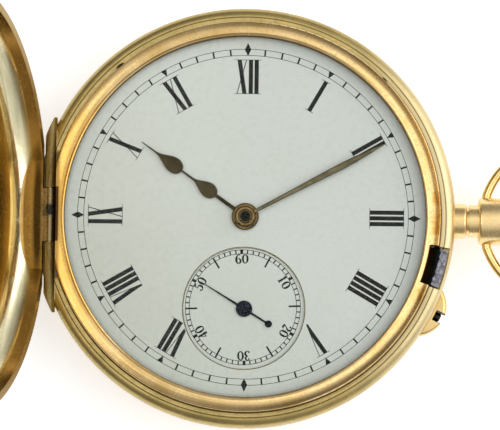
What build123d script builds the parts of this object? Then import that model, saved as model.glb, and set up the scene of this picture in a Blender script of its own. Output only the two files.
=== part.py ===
"""A half hunter pocket watch: gold case, enamel dial and lever movement, in millimetres.

The watch lies on its back. The origin is the centre of the flat on the back cover, +Z points out of the
dial, +X to 3 o'clock and the pendant, +Y to 12 o'clock, and the hinges are at 9 o'clock. The front cover
stands open.
"""
import os
from math import asin, atan2, cos, degrees, hypot, pi, radians, sin, sqrt

from build123d import *

os.makedirs("parts", exist_ok=True)

# Fits
running_gap = 0.05
fit_gap = 0.02
overrun = 0.5

# Case, from the back up
case_radius = 25.0
back_flat_radius = 10.0
cover_wall = 0.45
band_bottom = 3.3
band_height = 5.9
band_width = 3.3
movement_bore_radius = case_radius - band_width
shoulder_ring_width = 1.15
ledge_outer_radius = case_radius - shoulder_ring_width
ledge_step = 0.06
top_shoulder = 1.3
bottom_shoulder = 0.9
bezel_seat_depth = 0.4
plate_lip_width = 0.5
plate_lip_thickness = 0.33
band_top = band_bottom + band_height
bezel_seat = band_top - bezel_seat_depth
pendant_height = band_bottom + band_height / 2

# Bezel and glass
ledge_width = 0.65
bezel_outer_radius = ledge_outer_radius - ledge_width
bezel_ridge_setback = 0.16
bezel_ridge_radius = bezel_outer_radius - bezel_ridge_setback
bezel_trough_setback = 1.35
bezel_trough_radius = bezel_outer_radius - bezel_trough_setback
bezel_width = 1.75
bezel_inner_radius = bezel_outer_radius - bezel_width
bezel_wall_height = 1.35
bezel_ridge_height = 1.65
bezel_trough_height = 1.22
bezel_lip_height = 1.3
bezel_lip_width = 0.2
glass_groove_depth = 0.3
glass_groove_width = 0.35
glass_seat_height = 0.7
glass_thickness = 0.5
glass_rise = 1.05
bezel_foot_width = 0.45

# Covers
cover_setback = 0.6
cover_radius = case_radius - cover_setback
cover_rim_width = 0.95
cover_seat_gap = 0.05
front_rim_height = 1.35
front_shoulder_height = 3.9
front_shoulder_width = 3.4
front_shoulder_radius = cover_radius - front_shoulder_width
front_dome_height = 5.1
back_rim_height = 0.9
back_shoulder_width = 1.8
back_shoulder_radius = cover_radius - back_shoulder_width
back_shoulder_height = 1.0
back_shoulder_mid_height = 0.28
window_radius = 9.25
window_ledge_width = 0.65
window_glass_thickness = 0.5
window_rim_width = 0.8
window_rim_height = 0.12

# Hinges at 9 o'clock
hinge_setback = 1.85
hinge_x = -(case_radius - hinge_setback)
front_hinge_drop = 0.75
back_hinge_drop = 0.4
knuckle_radius = 0.7
knuckle_clearance = 0.08
hinge_pin_radius = 0.3
hinge_trim_margin = 0.6
hinge_trim_radius = case_radius + hinge_trim_margin
hinge_wall_outer = 0.2
hinge_wall_thickness = 0.4
front_hinge_length = 23.2
front_middle_knuckle = 6.4
back_hinge_length = 20.0
back_cover_knuckles = 12.0
dust_knuckle = 4.0
front_open_angle = 107
joint_recess_length = 16.8
joint_tongue_rise = 0.3
front_hinge_z = band_top - front_hinge_drop
back_hinge_z = band_bottom - back_hinge_drop

# Dust cover
dust_setback = 2.1
dust_radius = cover_radius - dust_setback
dust_flange_width = 0.9
dust_thickness = 0.35
dust_drop = 1.6

# Pendant, crown and bow
pendant_overlap = 0.35
pendant_start = case_radius - pendant_overlap
collar_radius = 2.1
collar_length = 1.75
collar_end = pendant_start + collar_length
neck_groove_radius = 1.65
neck_groove_length = 0.25
neck_groove_end = collar_end + neck_groove_length
neck_ring_radius = 1.95
neck_ring_length = 1.15
neck_ring_end = neck_groove_end + neck_ring_length
head_radius = 2.8
head_length = 5.3
head_end = neck_ring_end + head_length
head_edge = 0.35
pendant_bore_radius = 1.25
sleeve_radius = 1.2
sleeve_collar_radius = 1.6
sleeve_collar_setback = 1.55
sleeve_collar_start = case_radius - sleeve_collar_setback
sleeve_collar_length = 0.65
press_travel = 0.6
crown_gap = 0.1
crown_length = 5.2
crown_radius = 3.9
crown_edge = 0.9
crown_flutes = 30
crown_flute_radius = 0.28
bow_pivot_setback = 1.0
bow_pivot_x = neck_ring_end + bow_pivot_setback
bow_wire_radius = 0.55
bow_pin_inner = 1.75
bow_shoulder_y = 2.85
bow_root_bend_radius = 1.2
bow_root_turn = 20
bow_side_bend_radius = 9.0

# Push pin for setting the hands, at about 20 past 4
push_pin_angle = -26.5
push_pin_height = 6.1
push_pin_radius = 0.55
push_pin_inner = 19.9
push_pin_reach = 1.1
push_pin_outer = case_radius + push_pin_reach
push_pin_head_radius = 0.8
push_pin_head_gap = 0.4
push_pin_head_start = case_radius + push_pin_head_gap
guard_peak = 1.5
guard_half_length = 3.05
guard_height = 3.0
guard_slot_width = 1.25
guard_base = 0.35
guard_edge = 0.45

# Lock spring and fly spring in the band
spring_channel_bottom = 7.2
spring_channel_top = 8.5
spring_channel_setback = 1.4
spring_channel_radius = case_radius - spring_channel_setback
spring_inner_setback = 2.15
spring_inner_radius = case_radius - spring_inner_setback
spring_thickness = 0.5
spring_side_gap = 0.1
lock_spring_start = -70
lock_spring_end = -1
lock_catch_start = -19.6
lock_catch_end = -9.0
catch_slot_wall = 0.4
catch_slot_outer_radius = case_radius - catch_slot_wall
catch_slot_width = 2.4
catch_slot_inner_radius = catch_slot_outer_radius - catch_slot_width
catch_end_gap = 0.2
catch_outer_radius = catch_slot_outer_radius - catch_end_gap
catch_width = 1.2
catch_inner_radius = catch_outer_radius - catch_width
catch_slot_start = -20.1
catch_slot_end = -8.1
catch_top_gap = 0.03
hook_outer_radius = ledge_outer_radius
hook_bottom = 0.25
hook_top = 0.6
cover_catch_depth = 0.55
fly_spring_start = 105
fly_spring_end = 163
spring_boss_radius = 0.7
spring_screw_radius = 0.3
spring_screw_head_radius = 0.6
spring_screw_length = 1.4

# Movement heights
bridge_bottom = 3.6
bridge_top = 4.6
plate_bottom = 7.1
plate_thickness = 1.2
plate_gap = 0.2
plate_radius = movement_bore_radius - plate_gap
bridge_setback = 0.7
bridge_radius = plate_radius - bridge_setback
motion_floor = 7.7
dial_gap = 0.15
dial_thickness = 0.6
dial_radius = plate_radius
dial_hole_radius = 1.35
dial_foot_radius = 0.4
dial_foot_circle = 17.0
dial_foot_length = 0.9
sink_radius = 7.25
sink_depth = 0.23
seconds_dial_thickness = 0.45
plate_top = plate_bottom + plate_thickness
dial_bottom = plate_top + dial_gap
dial_top = dial_bottom + dial_thickness
seconds_dial_top = dial_top - sink_depth

# Gear train: tooth counts and modules
barrel_teeth, center_pinion_teeth, barrel_module = 80, 10, 0.23
center_teeth, third_pinion_teeth, center_module = 64, 8, 0.20
third_teeth, fourth_pinion_teeth, third_module = 60, 8, 0.18
fourth_teeth, escape_pinion_teeth, fourth_module = 70, 7, 0.15
cannon_teeth, minute_teeth, cannon_module = 12, 36, 0.20
minute_pinion_teeth, hour_teeth = 10, 40
setting_teeth = 24
escape_teeth = 15
ratchet_teeth, crown_teeth, winding_module = 74, 56, 0.20
winding_pinion_teeth = 18

# Tooth shapes as shares: thickness of the pitch, addendum and dedendum of the module, belly of the tip arcs
wheel_tooth_shares = (0.44, 1.0, 1.4, 0.72)
pinion_tooth_shares = (0.33, 0.7, 1.6, 0.8)
tip_height_share = 0.55

# Gear train: where the wheels stand
barrel_angle = 66.6
fourth_distance = 10.93
escape_angle = 195
balance_center = (-11.2, -5.2)
minute_angle = 20
crown_wheel_center = (13.0, 0)

# Gear train: heights
center_wheel_z = 4.95
center_wheel_thickness = 0.17
third_wheel_z = 5.3
third_wheel_thickness = 0.18
fourth_wheel_z = 6.2
fourth_wheel_thickness = 0.2
escape_wheel_z = 5.55
escape_wheel_thickness = 0.15
barrel_bottom = 5.2
barrel_top = 6.95
barrel_teeth_bottom = 6.5
barrel_teeth_top = 6.9
center_pinion_bottom = 5.3
third_pinion_bottom = 4.8
fourth_pinion_bottom = 5.05
fourth_pinion_top = 6.1
escape_pinion_bottom = 6.05
escape_pinion_top = 6.75
cannon_bottom = 7.75
cannon_top = 8.08
minute_wheel_z = 7.78
minute_wheel_thickness = 0.22
minute_pinion_top = 8.36
hour_wheel_z = 8.14
hour_wheel_thickness = 0.18
hour_hand_z = 9.35
hour_hand_thickness = 0.15
minute_hand_z = 9.85
minute_hand_thickness = 0.13
seconds_hand_z = 8.98
seconds_hand_thickness = 0.1

# Arbors, jewels and rims
arbor_radius = 0.4
pivot_radius = 0.12
pivot_length = 0.5
pivot_gap = 0.02
jewel_radius = 0.55
jewel_height = 0.55
jewel_setback = 0.05
jewel_fit = 0.01
wheel_rim = 0.7
wheel_hub_radius = 1.0
wheel_arm = 0.5
center_arbor_radius = 0.5
center_arbor_top = 10.0
cannon_tube_radius = 0.75
cannon_tube_top = 9.8
hour_pipe_radius = 1.15
hour_pipe_top = 9.45
seconds_arbor_radius = 0.22
seconds_hub_radius = 0.4
escape_arbor_radius = 0.25

# Barrel and winding
drum_radius = 8.75
drum_wall = 0.35
drum_floor = 0.25
lid_thickness = 0.23
lid_drop = 0.02
barrel_core_radius = 1.6
barrel_journal_radius = 0.9
barrel_pivot_radius = 0.6
arbor_square = 1.3
mainspring_thickness = 0.15
mainspring_pitch = 0.6
mainspring_inner_radius = 1.9
mainspring_half_turns = 20
winding_wheel_z = 3.75
winding_wheel_thickness = 0.5
winding_recess = 0.7
recess_gap = 0.25
crown_core_radius = 1.2
flat_screw_head = 0.37
ratchet_screw_radius = 1.8
crown_screw_radius = 2.0
screw_shank_radius = 0.45
screw_head_radius = 1.05
screw_head_height = 0.38
screw_slot_width = 0.22
screw_slot_depth = 0.18
click_pivot_distance = 9.6
click_pivot_angle = 140
click_beak_angle = 126
click_radius = 0.9
click_beak_radius = 0.12
click_gap = 0.06
click_recess_outer = 11.6
click_recess_start = 118
click_recess_end = 168
click_spring_radius = 10.75
click_spring_thickness = 0.14
click_spring_start = 142
click_spring_end = 164
click_spring_boss = 0.45

# Keyless work
stem_radius = 0.55
stem_square = 0.8
stem_tip_radius = 0.35
stem_tip = 12.0
stem_square_start = 13.3
stem_square_end = 19.65
stem_block_start = 11.6
stem_block_end = 12.6
stem_block_half_width = 0.9
stem_block_bottom = 5.6
stem_slot_half_width = 2.1
stem_slot_start = 12.7
winding_pinion_start = 17.15
winding_pinion_length = 1.8
winding_pinion_root_radius = 1.55
winding_pinion_tip_radius = 1.9
winding_tooth_width = 0.24
clutch_start = 13.6
clutch_end = 17.05
clutch_radius = 1.4
clutch_groove_radius = 0.95
clutch_groove_start = 15.0
clutch_groove_end = 15.5
clutch_face_teeth = 6
clutch_face_depth = 0.2
lever_bottom = 5.85
lever_thickness = 0.45
lever_post_radius = 0.45
clutch_lever_pivot = (15.25, -7.4)
clutch_lever_boss_radius = 0.9
clutch_lever_half_width = 0.5
clutch_lever_shoulder_y = -2.6
clutch_finger_tip_y = -1.1
clutch_finger_half_width = 0.2
setting_lever_pivot = (15.2, -11.6)
setting_lever_boss_radius = 0.95
setting_lever_knee = (17.4, -8.6)
setting_lever_nose = (16.75, -4.8)
setting_lever_half_width = 0.42
setting_post_radius = 0.45

# Escapement
escape_tip_radius = 3.4
escape_root_radius = 2.55
escape_rim_radius = 2.2
escape_hub_radius = 0.7
escape_tooth_lean = 9
escape_tooth_base = 7
pallet_bottom = 5.5
pallet_thickness = 0.2
pallet_arm_width = 0.5
pallet_boss_radius = 0.5
pallet_stone_gap = 0.25
pallet_stone_length = 0.9
pallet_stone_width = 0.4
pallet_pad_length = 0.95
pallet_pad_width = 0.8
pallet_pad_setback = 0.25
lever_width = 0.45
fork_width = 1.3
fork_length = 0.75
fork_notch_width = 0.4
fork_notch_depth = 0.5
roller_reach = 1.07
pallet_bridge_bottom = 4.9
pallet_bridge_top = 5.25
pallet_bridge_near = 3.6
pallet_bridge_far = 4.2
pallet_bridge_end_radius = 0.9
balance_rim_outer = 7.5
balance_rim_inner = 6.6
balance_rim_bottom = 4.15
balance_rim_top = 4.75
balance_arm_width = 0.9
balance_arm_bottom = 4.35
balance_arm_top = 4.6
balance_hub_radius = 1.0
balance_screw_radius = 0.3
balance_screw_reach = 7.95
balance_screws_per_side = 6
balance_cut_width = 0.3
balance_recess_gap = 0.7
staff_radius = 0.3
roller_radius = 1.1
roller_bottom = 5.0
roller_top = 5.2
impulse_radius = 0.8
impulse_pin_radius = 0.12
impulse_pin_top = 5.8
collet_radius = 0.55
hairspring_bottom = 3.93
hairspring_height = 0.15
hairspring_thickness = 0.08
hairspring_pitch = 0.3
hairspring_inner_radius = 0.75
hairspring_half_turns = 16
cock_foot = (-15.0, 6.5)
cock_foot_radius = 2.6
cock_table_radius = 2.0
cock_bottom = 3.1
cock_top = 3.8
cock_clearance = 0.3
cock_boss_radius = 1.05
cock_boss_bottom = 2.75
regulator_outer_radius = 1.7
regulator_bottom = 2.82
regulator_thickness = 0.24
regulator_reach = 6.2
regulator_tip_radius = 0.16
regulator_tail = 2.6

# Bridges
barrel_bridge_edge = -2.2
train_bridge_edge = -2.45
pillar_radius = 1.3
barrel_pillars = ((-9.5, 13.5), (15.2, 10.5), (-6.5, 7.5))
train_pillars = ((9.5, -14.5), (12.4, -9.6), (-2.5, -18.2))
case_screw_setback = 0.95
case_screw_circle = plate_radius - case_screw_setback
case_screw_angles = (135, -60)
case_screw_head_radius = 0.9
case_screw_head_height = 0.33

# Hands, each drawn along its own length from the centre
hour_hand_angle = 144.8
minute_hand_angle = 28.1
seconds_hand_angle = 148.6
hour_hand_length = 15.2
hour_hub_radius = 1.6
hour_shaft_width = 0.46
hour_neck_width = 0.26
hour_point_radius = 0.05
hour_pear_radius = 0.92
hour_first_pear = 5.2
hour_first_pear_end = 7.4
hour_second_pear = 10.25
hour_second_pear_end = 13.0
hour_pear_end_radius = 0.13
minute_hand_length = 18.8
minute_hub_radius = 1.15
minute_root_width = 0.42
minute_swell_width = 0.8
minute_swell = 13.2
minute_tip_width = 0.12
seconds_hand_length = 6.03
seconds_tail_length = 3.4
seconds_disc_radius = 0.97
seconds_tail_disc_radius = 0.42
seconds_root_width = 0.3
seconds_tip_width = 0.08


def polar(radius, angle, centre=(0, 0)):
    """A point at this radius and angle from a centre."""
    return (centre[0] + radius * cos(radians(angle)), centre[1] + radius * sin(radians(angle)))


def heading(start, end):
    """The angle of the line from one point to another."""
    return degrees(atan2(end[1] - start[1], end[0] - start[0]))


def disc(centre, radius, bottom, top, mode=Mode.ADD):
    """A round slice of the current part between two heights."""
    with BuildSketch(Plane.XY.offset(bottom)) as face:
        with Locations(centre):
            Circle(radius)
    extrude(face.sketch, amount=top - bottom, mode=mode)


def rod(radius, start, end, mode=Mode.ADD):
    """A round length of the current part along the winding stem."""
    with BuildSketch(Plane.YZ.offset(start)) as face:
        with Locations((0, pendant_height)):
            Circle(radius)
    extrude(face.sketch, amount=end - start, mode=mode)


def knuckle(height, radius, middle, length, mode=Mode.ADD):
    """A round length of the current part along a hinge at 9 o'clock."""
    with BuildSketch(Plane.XZ.offset(-middle)) as face:
        with Locations((hinge_x, height)):
            Circle(radius)
    extrude(face.sketch, amount=length / 2, both=True, mode=mode)


def ring_sector(inner_radius, outer_radius, start_angle, end_angle, centre=(0, 0)):
    """A face between two radii and two angles, in the current sketch."""
    with BuildLine() as outline:
        CenterArc(centre, inner_radius, start_angle, end_angle - start_angle)
        CenterArc(centre, outer_radius, start_angle, end_angle - start_angle)
        Line(polar(inner_radius, start_angle, centre), polar(outer_radius, start_angle, centre))
        Line(polar(inner_radius, end_angle, centre), polar(outer_radius, end_angle, centre))
    make_face(outline.line.edges())


def toothed_outline(centre, teeth, module, shares, phase):
    """A gear's face in the current sketch, with a tooth centred on the phase angle."""
    thickness_share, addendum_share, dedendum_share, belly_share = shares
    pitch_radius = teeth * module / 2
    root = pitch_radius - dedendum_share * module
    middle = pitch_radius + tip_height_share * addendum_share * module
    tip = pitch_radius + addendum_share * module
    half = thickness_share * 180 / teeth
    edges = []
    for tooth in range(teeth):
        angle = phase + tooth * 360 / teeth
        foot_in = polar(root, angle - half, centre)
        flank_in = polar(pitch_radius, angle - half, centre)
        belly_in = polar(middle, angle - half * belly_share, centre)
        point = polar(tip, angle, centre)
        belly_out = polar(middle, angle + half * belly_share, centre)
        flank_out = polar(pitch_radius, angle + half, centre)
        foot_out = polar(root, angle + half, centre)
        next_foot = polar(root, angle + 360 / teeth - half, centre)
        edges.append(Line(foot_in, flank_in, mode=Mode.PRIVATE))
        edges.append(ThreePointArc(flank_in, belly_in, point, mode=Mode.PRIVATE))
        edges.append(ThreePointArc(point, belly_out, flank_out, mode=Mode.PRIVATE))
        edges.append(Line(flank_out, foot_out, mode=Mode.PRIVATE))
        edges.append(Line(foot_out, next_foot, mode=Mode.PRIVATE))
    make_face(edges)


def gear(centre, teeth, module, shares, phase, bottom, thickness):
    """A toothed slice of the current part."""
    with BuildSketch(Plane.XY.offset(bottom)) as face:
        toothed_outline(centre, teeth, module, shares, phase)
    extrude(face.sketch, amount=thickness)


def spokes(centre, rim_inner, hub_radius, arms, arm_width, phase, bottom, thickness):
    """Windows that leave a rim, a hub and arms in a wheel of the current part."""
    with BuildSketch(Plane.XY.offset(bottom)) as face:
        with Locations(centre):
            Circle(rim_inner)
            Circle(hub_radius, mode=Mode.SUBTRACT)
            with PolarLocations(rim_inner / 2, arms, start_angle=phase):
                Rectangle(rim_inner + hub_radius, arm_width, mode=Mode.SUBTRACT)
    extrude(face.sketch, amount=thickness, mode=Mode.SUBTRACT)


def pinion_phase(line_angle, teeth):
    """Turns a pinion so that a gap faces back along the line from its wheel."""
    return line_angle + 180 + 180 / teeth


def blob(first, first_radius, second, second_radius):
    """The face round two circles and the straight lines that touch both, in the current sketch."""
    here = Pos(*first) * Circle(first_radius, mode=Mode.PRIVATE)
    there = Pos(*second) * Circle(second_radius, mode=Mode.PRIVATE)
    make_hull(here.edges() + there.edges())


def dome_point(middle_height, edge_height, edge_radius, share=0.5):
    """A point of a round dome at a share of its edge radius, in the plane of its section."""
    fall = middle_height - edge_height
    ball_radius = (edge_radius**2 + fall**2) / (2 * fall)
    x = edge_radius * share
    drop = abs(ball_radius) - sqrt(ball_radius**2 - x**2)
    return (x, middle_height - drop * fall / abs(fall))


def turned_plane(height, angle, centre=(0, 0)):
    """A level plane whose first direction points along an angle."""
    return Plane(origin=(*centre, height), x_dir=(cos(radians(angle)), sin(radians(angle)), 0))


def slotted_screw(centre, head_bottom, head_top, head_radius, shank_radius, shank_end):
    """A screw of the current part whose slotted head faces the back."""
    disc(centre, head_radius, head_bottom, head_top)
    disc(centre, shank_radius, head_top, shank_end)
    with BuildSketch(Plane.XY.offset(head_bottom)) as face:
        with Locations(centre):
            Rectangle(2 * head_radius + overrun, screw_slot_width)
    extrude(face.sketch, amount=screw_slot_depth, mode=Mode.SUBTRACT)


def spiral(centre, inner_radius, pitch, half_turns, thickness, bottom, height):
    """A flat coiled spring of the current part, from half circles that grow by half a pitch."""
    with BuildSketch(Plane.XY.offset(bottom)) as face:
        with BuildLine():
            for side in (-1, 1):
                radius = inner_radius + side * thickness / 2
                x = centre[0] + radius
                for turn in range(half_turns):
                    way = 1 if turn % 2 == 0 else -1
                    reach = radius + pitch / 4
                    far = x - way * 2 * reach
                    ThreePointArc((x, centre[1]), ((x + far) / 2, centre[1] + way * reach), (far, centre[1]))
                    x = far
                    radius += pitch / 2
                end_x = x
                if side < 0:
                    inner_end_x = end_x
            Line((centre[0] + inner_radius - thickness / 2, centre[1]),
                 (centre[0] + inner_radius + thickness / 2, centre[1]))
            Line((inner_end_x, centre[1]), (end_x, centre[1]))
        make_face()
    extrude(face.sketch, amount=height)


# Places that follow from the tooth counts
barrel_distance = barrel_module * (barrel_teeth + center_pinion_teeth) / 2
third_distance = center_module * (center_teeth + third_pinion_teeth) / 2
third_to_fourth = third_module * (third_teeth + fourth_pinion_teeth) / 2
fourth_to_escape = fourth_module * (fourth_teeth + escape_pinion_teeth) / 2
minute_distance = cannon_module * (cannon_teeth + minute_teeth) / 2
hour_module = 2 * minute_distance / (minute_pinion_teeth + hour_teeth)
setting_distance = cannon_module * (minute_teeth + setting_teeth) / 2
center = (0, 0)
barrel_center = polar(barrel_distance, barrel_angle)
fourth_center = (0, -fourth_distance)
third_y = -(third_distance**2 - third_to_fourth**2 + fourth_distance**2) / (2 * fourth_distance)
third_center = (sqrt(third_distance**2 - third_y**2), third_y)
escape_center = polar(fourth_to_escape, escape_angle, fourth_center)
minute_center = polar(minute_distance, minute_angle)
setting_center = (minute_center[0] + sqrt(setting_distance**2 - minute_center[1] ** 2), 0)
escape_to_balance = heading(escape_center, balance_center)
pallet_distance = escape_tip_radius / cos(radians(30))
pallet_center = polar(pallet_distance, escape_to_balance, escape_center)
pallet_to_balance = hypot(balance_center[0] - pallet_center[0], balance_center[1] - pallet_center[1])
pallet_feet = (
    polar(pallet_bridge_near, escape_to_balance - 90, pallet_center),
    polar(pallet_bridge_far, escape_to_balance + 90, pallet_center),
)
balance_recess_radius = balance_rim_outer + balance_recess_gap
click_pivot = polar(click_pivot_distance, click_pivot_angle, barrel_center)
ratchet_tip_radius = winding_module * (ratchet_teeth / 2 + 1)
crown_wheel_tip_radius = winding_module * (crown_teeth / 2 + 1)
click_beak = polar(ratchet_tip_radius + click_gap + click_beak_radius, click_beak_angle, barrel_center)

# Phases: each wheel shows a tooth to its partner, each pinion a gap
barrel_phase = barrel_angle + 180
center_pinion_phase = pinion_phase(barrel_phase, center_pinion_teeth)
center_phase = heading(center, third_center)
third_pinion_phase = pinion_phase(center_phase, third_pinion_teeth)
third_phase = heading(third_center, fourth_center)
fourth_pinion_phase = pinion_phase(third_phase, fourth_pinion_teeth)
fourth_phase = escape_angle
escape_pinion_phase = pinion_phase(fourth_phase, escape_pinion_teeth)
minute_phase = minute_angle + 180
cannon_phase = pinion_phase(minute_phase, cannon_teeth)
hour_phase = minute_angle
minute_pinion_phase = pinion_phase(hour_phase, minute_pinion_teeth)
setting_line = heading(minute_center, setting_center)
minute_gap_turn = (setting_line - minute_phase) % (360 / minute_teeth)
setting_phase = setting_line + 180 + 180 / setting_teeth + minute_gap_turn * minute_teeth / setting_teeth
crown_wheel_line = heading(barrel_center, crown_wheel_center)
ratchet_phase = crown_wheel_line
crown_wheel_phase = crown_wheel_line + 180 + 180 / crown_teeth

# The band's own knuckles of both hinges, filed off to the round of the case
with BuildPart() as band_knuckles:
    for height, length, middle_length in (
        (front_hinge_z, front_hinge_length, front_middle_knuckle),
        (back_hinge_z, back_hinge_length, back_cover_knuckles),
    ):
        side_length = (length - middle_length) / 2 - running_gap
        for side in (-1, 1):
            knuckle(height, knuckle_radius, side * (length - side_length) / 2, side_length)
    disc(center, hinge_trim_radius, 0, 2 * band_top, mode=Mode.INTERSECT)

# Case middle: the band, its ledge, the outer knuckles of both hinges and the ways through it
with BuildPart() as case_middle:
    with BuildSketch(Plane.XZ):
        with BuildLine():
            Polyline(
                (case_radius - bottom_shoulder / 2, band_bottom),
                (movement_bore_radius, band_bottom),
                (movement_bore_radius, plate_bottom - fit_gap - plate_lip_thickness),
                (movement_bore_radius - plate_lip_width, plate_bottom - fit_gap - plate_lip_thickness),
                (movement_bore_radius - plate_lip_width, plate_bottom - fit_gap),
                (movement_bore_radius, plate_bottom - fit_gap),
                (movement_bore_radius, bezel_seat),
                (bezel_outer_radius + running_gap, bezel_seat),
                (bezel_outer_radius + running_gap, band_top),
                (ledge_outer_radius - ledge_step, band_top),
                (ledge_outer_radius, band_top - ledge_step),
            )
            top_edge = (ledge_outer_radius, band_top - ledge_step)
            shoulder_end = (case_radius, band_top - top_shoulder)
            shoulder_width = case_radius - ledge_outer_radius
            ThreePointArc(
                top_edge,
                (
                    ledge_outer_radius + shoulder_width * sin(radians(45)),
                    band_top - ledge_step - (top_shoulder - ledge_step) * (1 - cos(radians(45))),
                ),
                shoulder_end,
            )
            Line(shoulder_end, (case_radius, band_bottom + bottom_shoulder))
            ThreePointArc(
                (case_radius, band_bottom + bottom_shoulder),
                (
                    case_radius - bottom_shoulder / 2 * (1 - cos(radians(45))),
                    band_bottom + bottom_shoulder * (1 - sin(radians(45))),
                ),
                (case_radius - bottom_shoulder / 2, band_bottom),
            )
        make_face()
    revolve(axis=Axis.Z)
    # Channels of the two steel springs, and the slot for the catch
    with BuildSketch(Plane.XY.offset(spring_channel_bottom)):
        channel_margin = 4
        channel_inner = movement_bore_radius - overrun
        ring_sector(channel_inner, spring_channel_radius,
                    lock_spring_start - channel_margin, lock_spring_end + channel_margin)
        ring_sector(channel_inner, spring_channel_radius,
                    fly_spring_start - channel_margin, fly_spring_end + channel_margin / 2)
    extrude(amount=spring_channel_top - spring_channel_bottom, mode=Mode.SUBTRACT)
    with BuildSketch(Plane.XY.offset(spring_channel_bottom)):
        ring_sector(catch_slot_inner_radius, catch_slot_outer_radius, catch_slot_start, catch_slot_end)
    extrude(amount=band_top - spring_channel_bottom + overrun, mode=Mode.SUBTRACT)
    # Stem hole with the room for the sleeve's collar, and the push pin's hole
    rod(pendant_bore_radius, movement_bore_radius - plate_lip_width - overrun,
        case_radius + overrun, mode=Mode.SUBTRACT)
    rod(sleeve_collar_radius + running_gap, movement_bore_radius - plate_lip_width - overrun,
        sleeve_collar_start + sleeve_collar_length + fit_gap, mode=Mode.SUBTRACT)
    rod(collar_radius + fit_gap, pendant_start - fit_gap, case_radius + overrun, mode=Mode.SUBTRACT)
    with BuildSketch(Plane(origin=(0, 0, push_pin_height),
                           z_dir=(cos(radians(push_pin_angle)), sin(radians(push_pin_angle)), 0))):
        Circle(push_pin_radius + running_gap)
    extrude(amount=case_radius + overrun, mode=Mode.SUBTRACT)
    # The joint's recess, open to the side, so that the cover can swing past upright
    with BuildSketch(Plane.XY.offset(front_hinge_z - knuckle_radius)):
        with Locations((hinge_x - case_radius / 2, 0)):
            Rectangle(case_radius, joint_recess_length)
    extrude(amount=band_height, mode=Mode.SUBTRACT)
    with BuildSketch(Plane.XY.offset(bezel_seat)):
        with Locations((hinge_x + (knuckle_radius + fit_gap) / 2, 0)):
            Rectangle(knuckle_radius + fit_gap, front_hinge_length)
    extrude(amount=band_height, mode=Mode.SUBTRACT)
    with BuildSketch(Plane.XY.offset(front_hinge_z)):
        with Locations((hinge_x + (knuckle_radius + fit_gap) / 2, 0)):
            Rectangle(knuckle_radius + fit_gap, front_middle_knuckle + 2 * running_gap)
    extrude(amount=band_height, mode=Mode.SUBTRACT)
    # Hinge seats for the covers' knuckles, then the band's own knuckles
    knuckle(front_hinge_z, knuckle_radius + knuckle_clearance, 0,
            front_middle_knuckle + 2 * running_gap, mode=Mode.SUBTRACT)
    knuckle(back_hinge_z, knuckle_radius + knuckle_clearance, 0,
            back_cover_knuckles + 2 * running_gap, mode=Mode.SUBTRACT)
    add(band_knuckles.part)
    for height in (front_hinge_z, back_hinge_z):
        knuckle(height, hinge_pin_radius + fit_gap, 0, front_hinge_length + overrun, mode=Mode.SUBTRACT)
    # Pockets for the springs' eyes and holes for their screws
    for angle in (lock_spring_start, fly_spring_start):
        disc(polar(spring_inner_radius + spring_thickness / 2, angle), spring_boss_radius + spring_side_gap,
             spring_channel_bottom, spring_channel_top, mode=Mode.SUBTRACT)
        disc(polar(spring_inner_radius + spring_thickness / 2, angle), spring_screw_radius + fit_gap,
             spring_channel_bottom - spring_screw_length, spring_channel_bottom, mode=Mode.SUBTRACT)
case_middle.part.label = "case_middle"
export_step(case_middle.part, "parts/case_middle.step")

# Hinge pins, filed off flush with the knuckles
with BuildPart() as front_hinge_pin:
    knuckle(front_hinge_z, hinge_pin_radius, 0, front_hinge_length)
    disc(center, hinge_trim_radius, 0, 2 * band_top, mode=Mode.INTERSECT)
front_hinge_pin.part.label = "front_hinge_pin"
export_step(front_hinge_pin.part, "parts/front_hinge_pin.step")

with BuildPart() as back_hinge_pin:
    knuckle(back_hinge_z, hinge_pin_radius, 0, back_hinge_length)
    disc(center, hinge_trim_radius, 0, 2 * band_top, mode=Mode.INTERSECT)
back_hinge_pin.part.label = "back_hinge_pin"
export_step(back_hinge_pin.part, "parts/back_hinge_pin.step")

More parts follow.
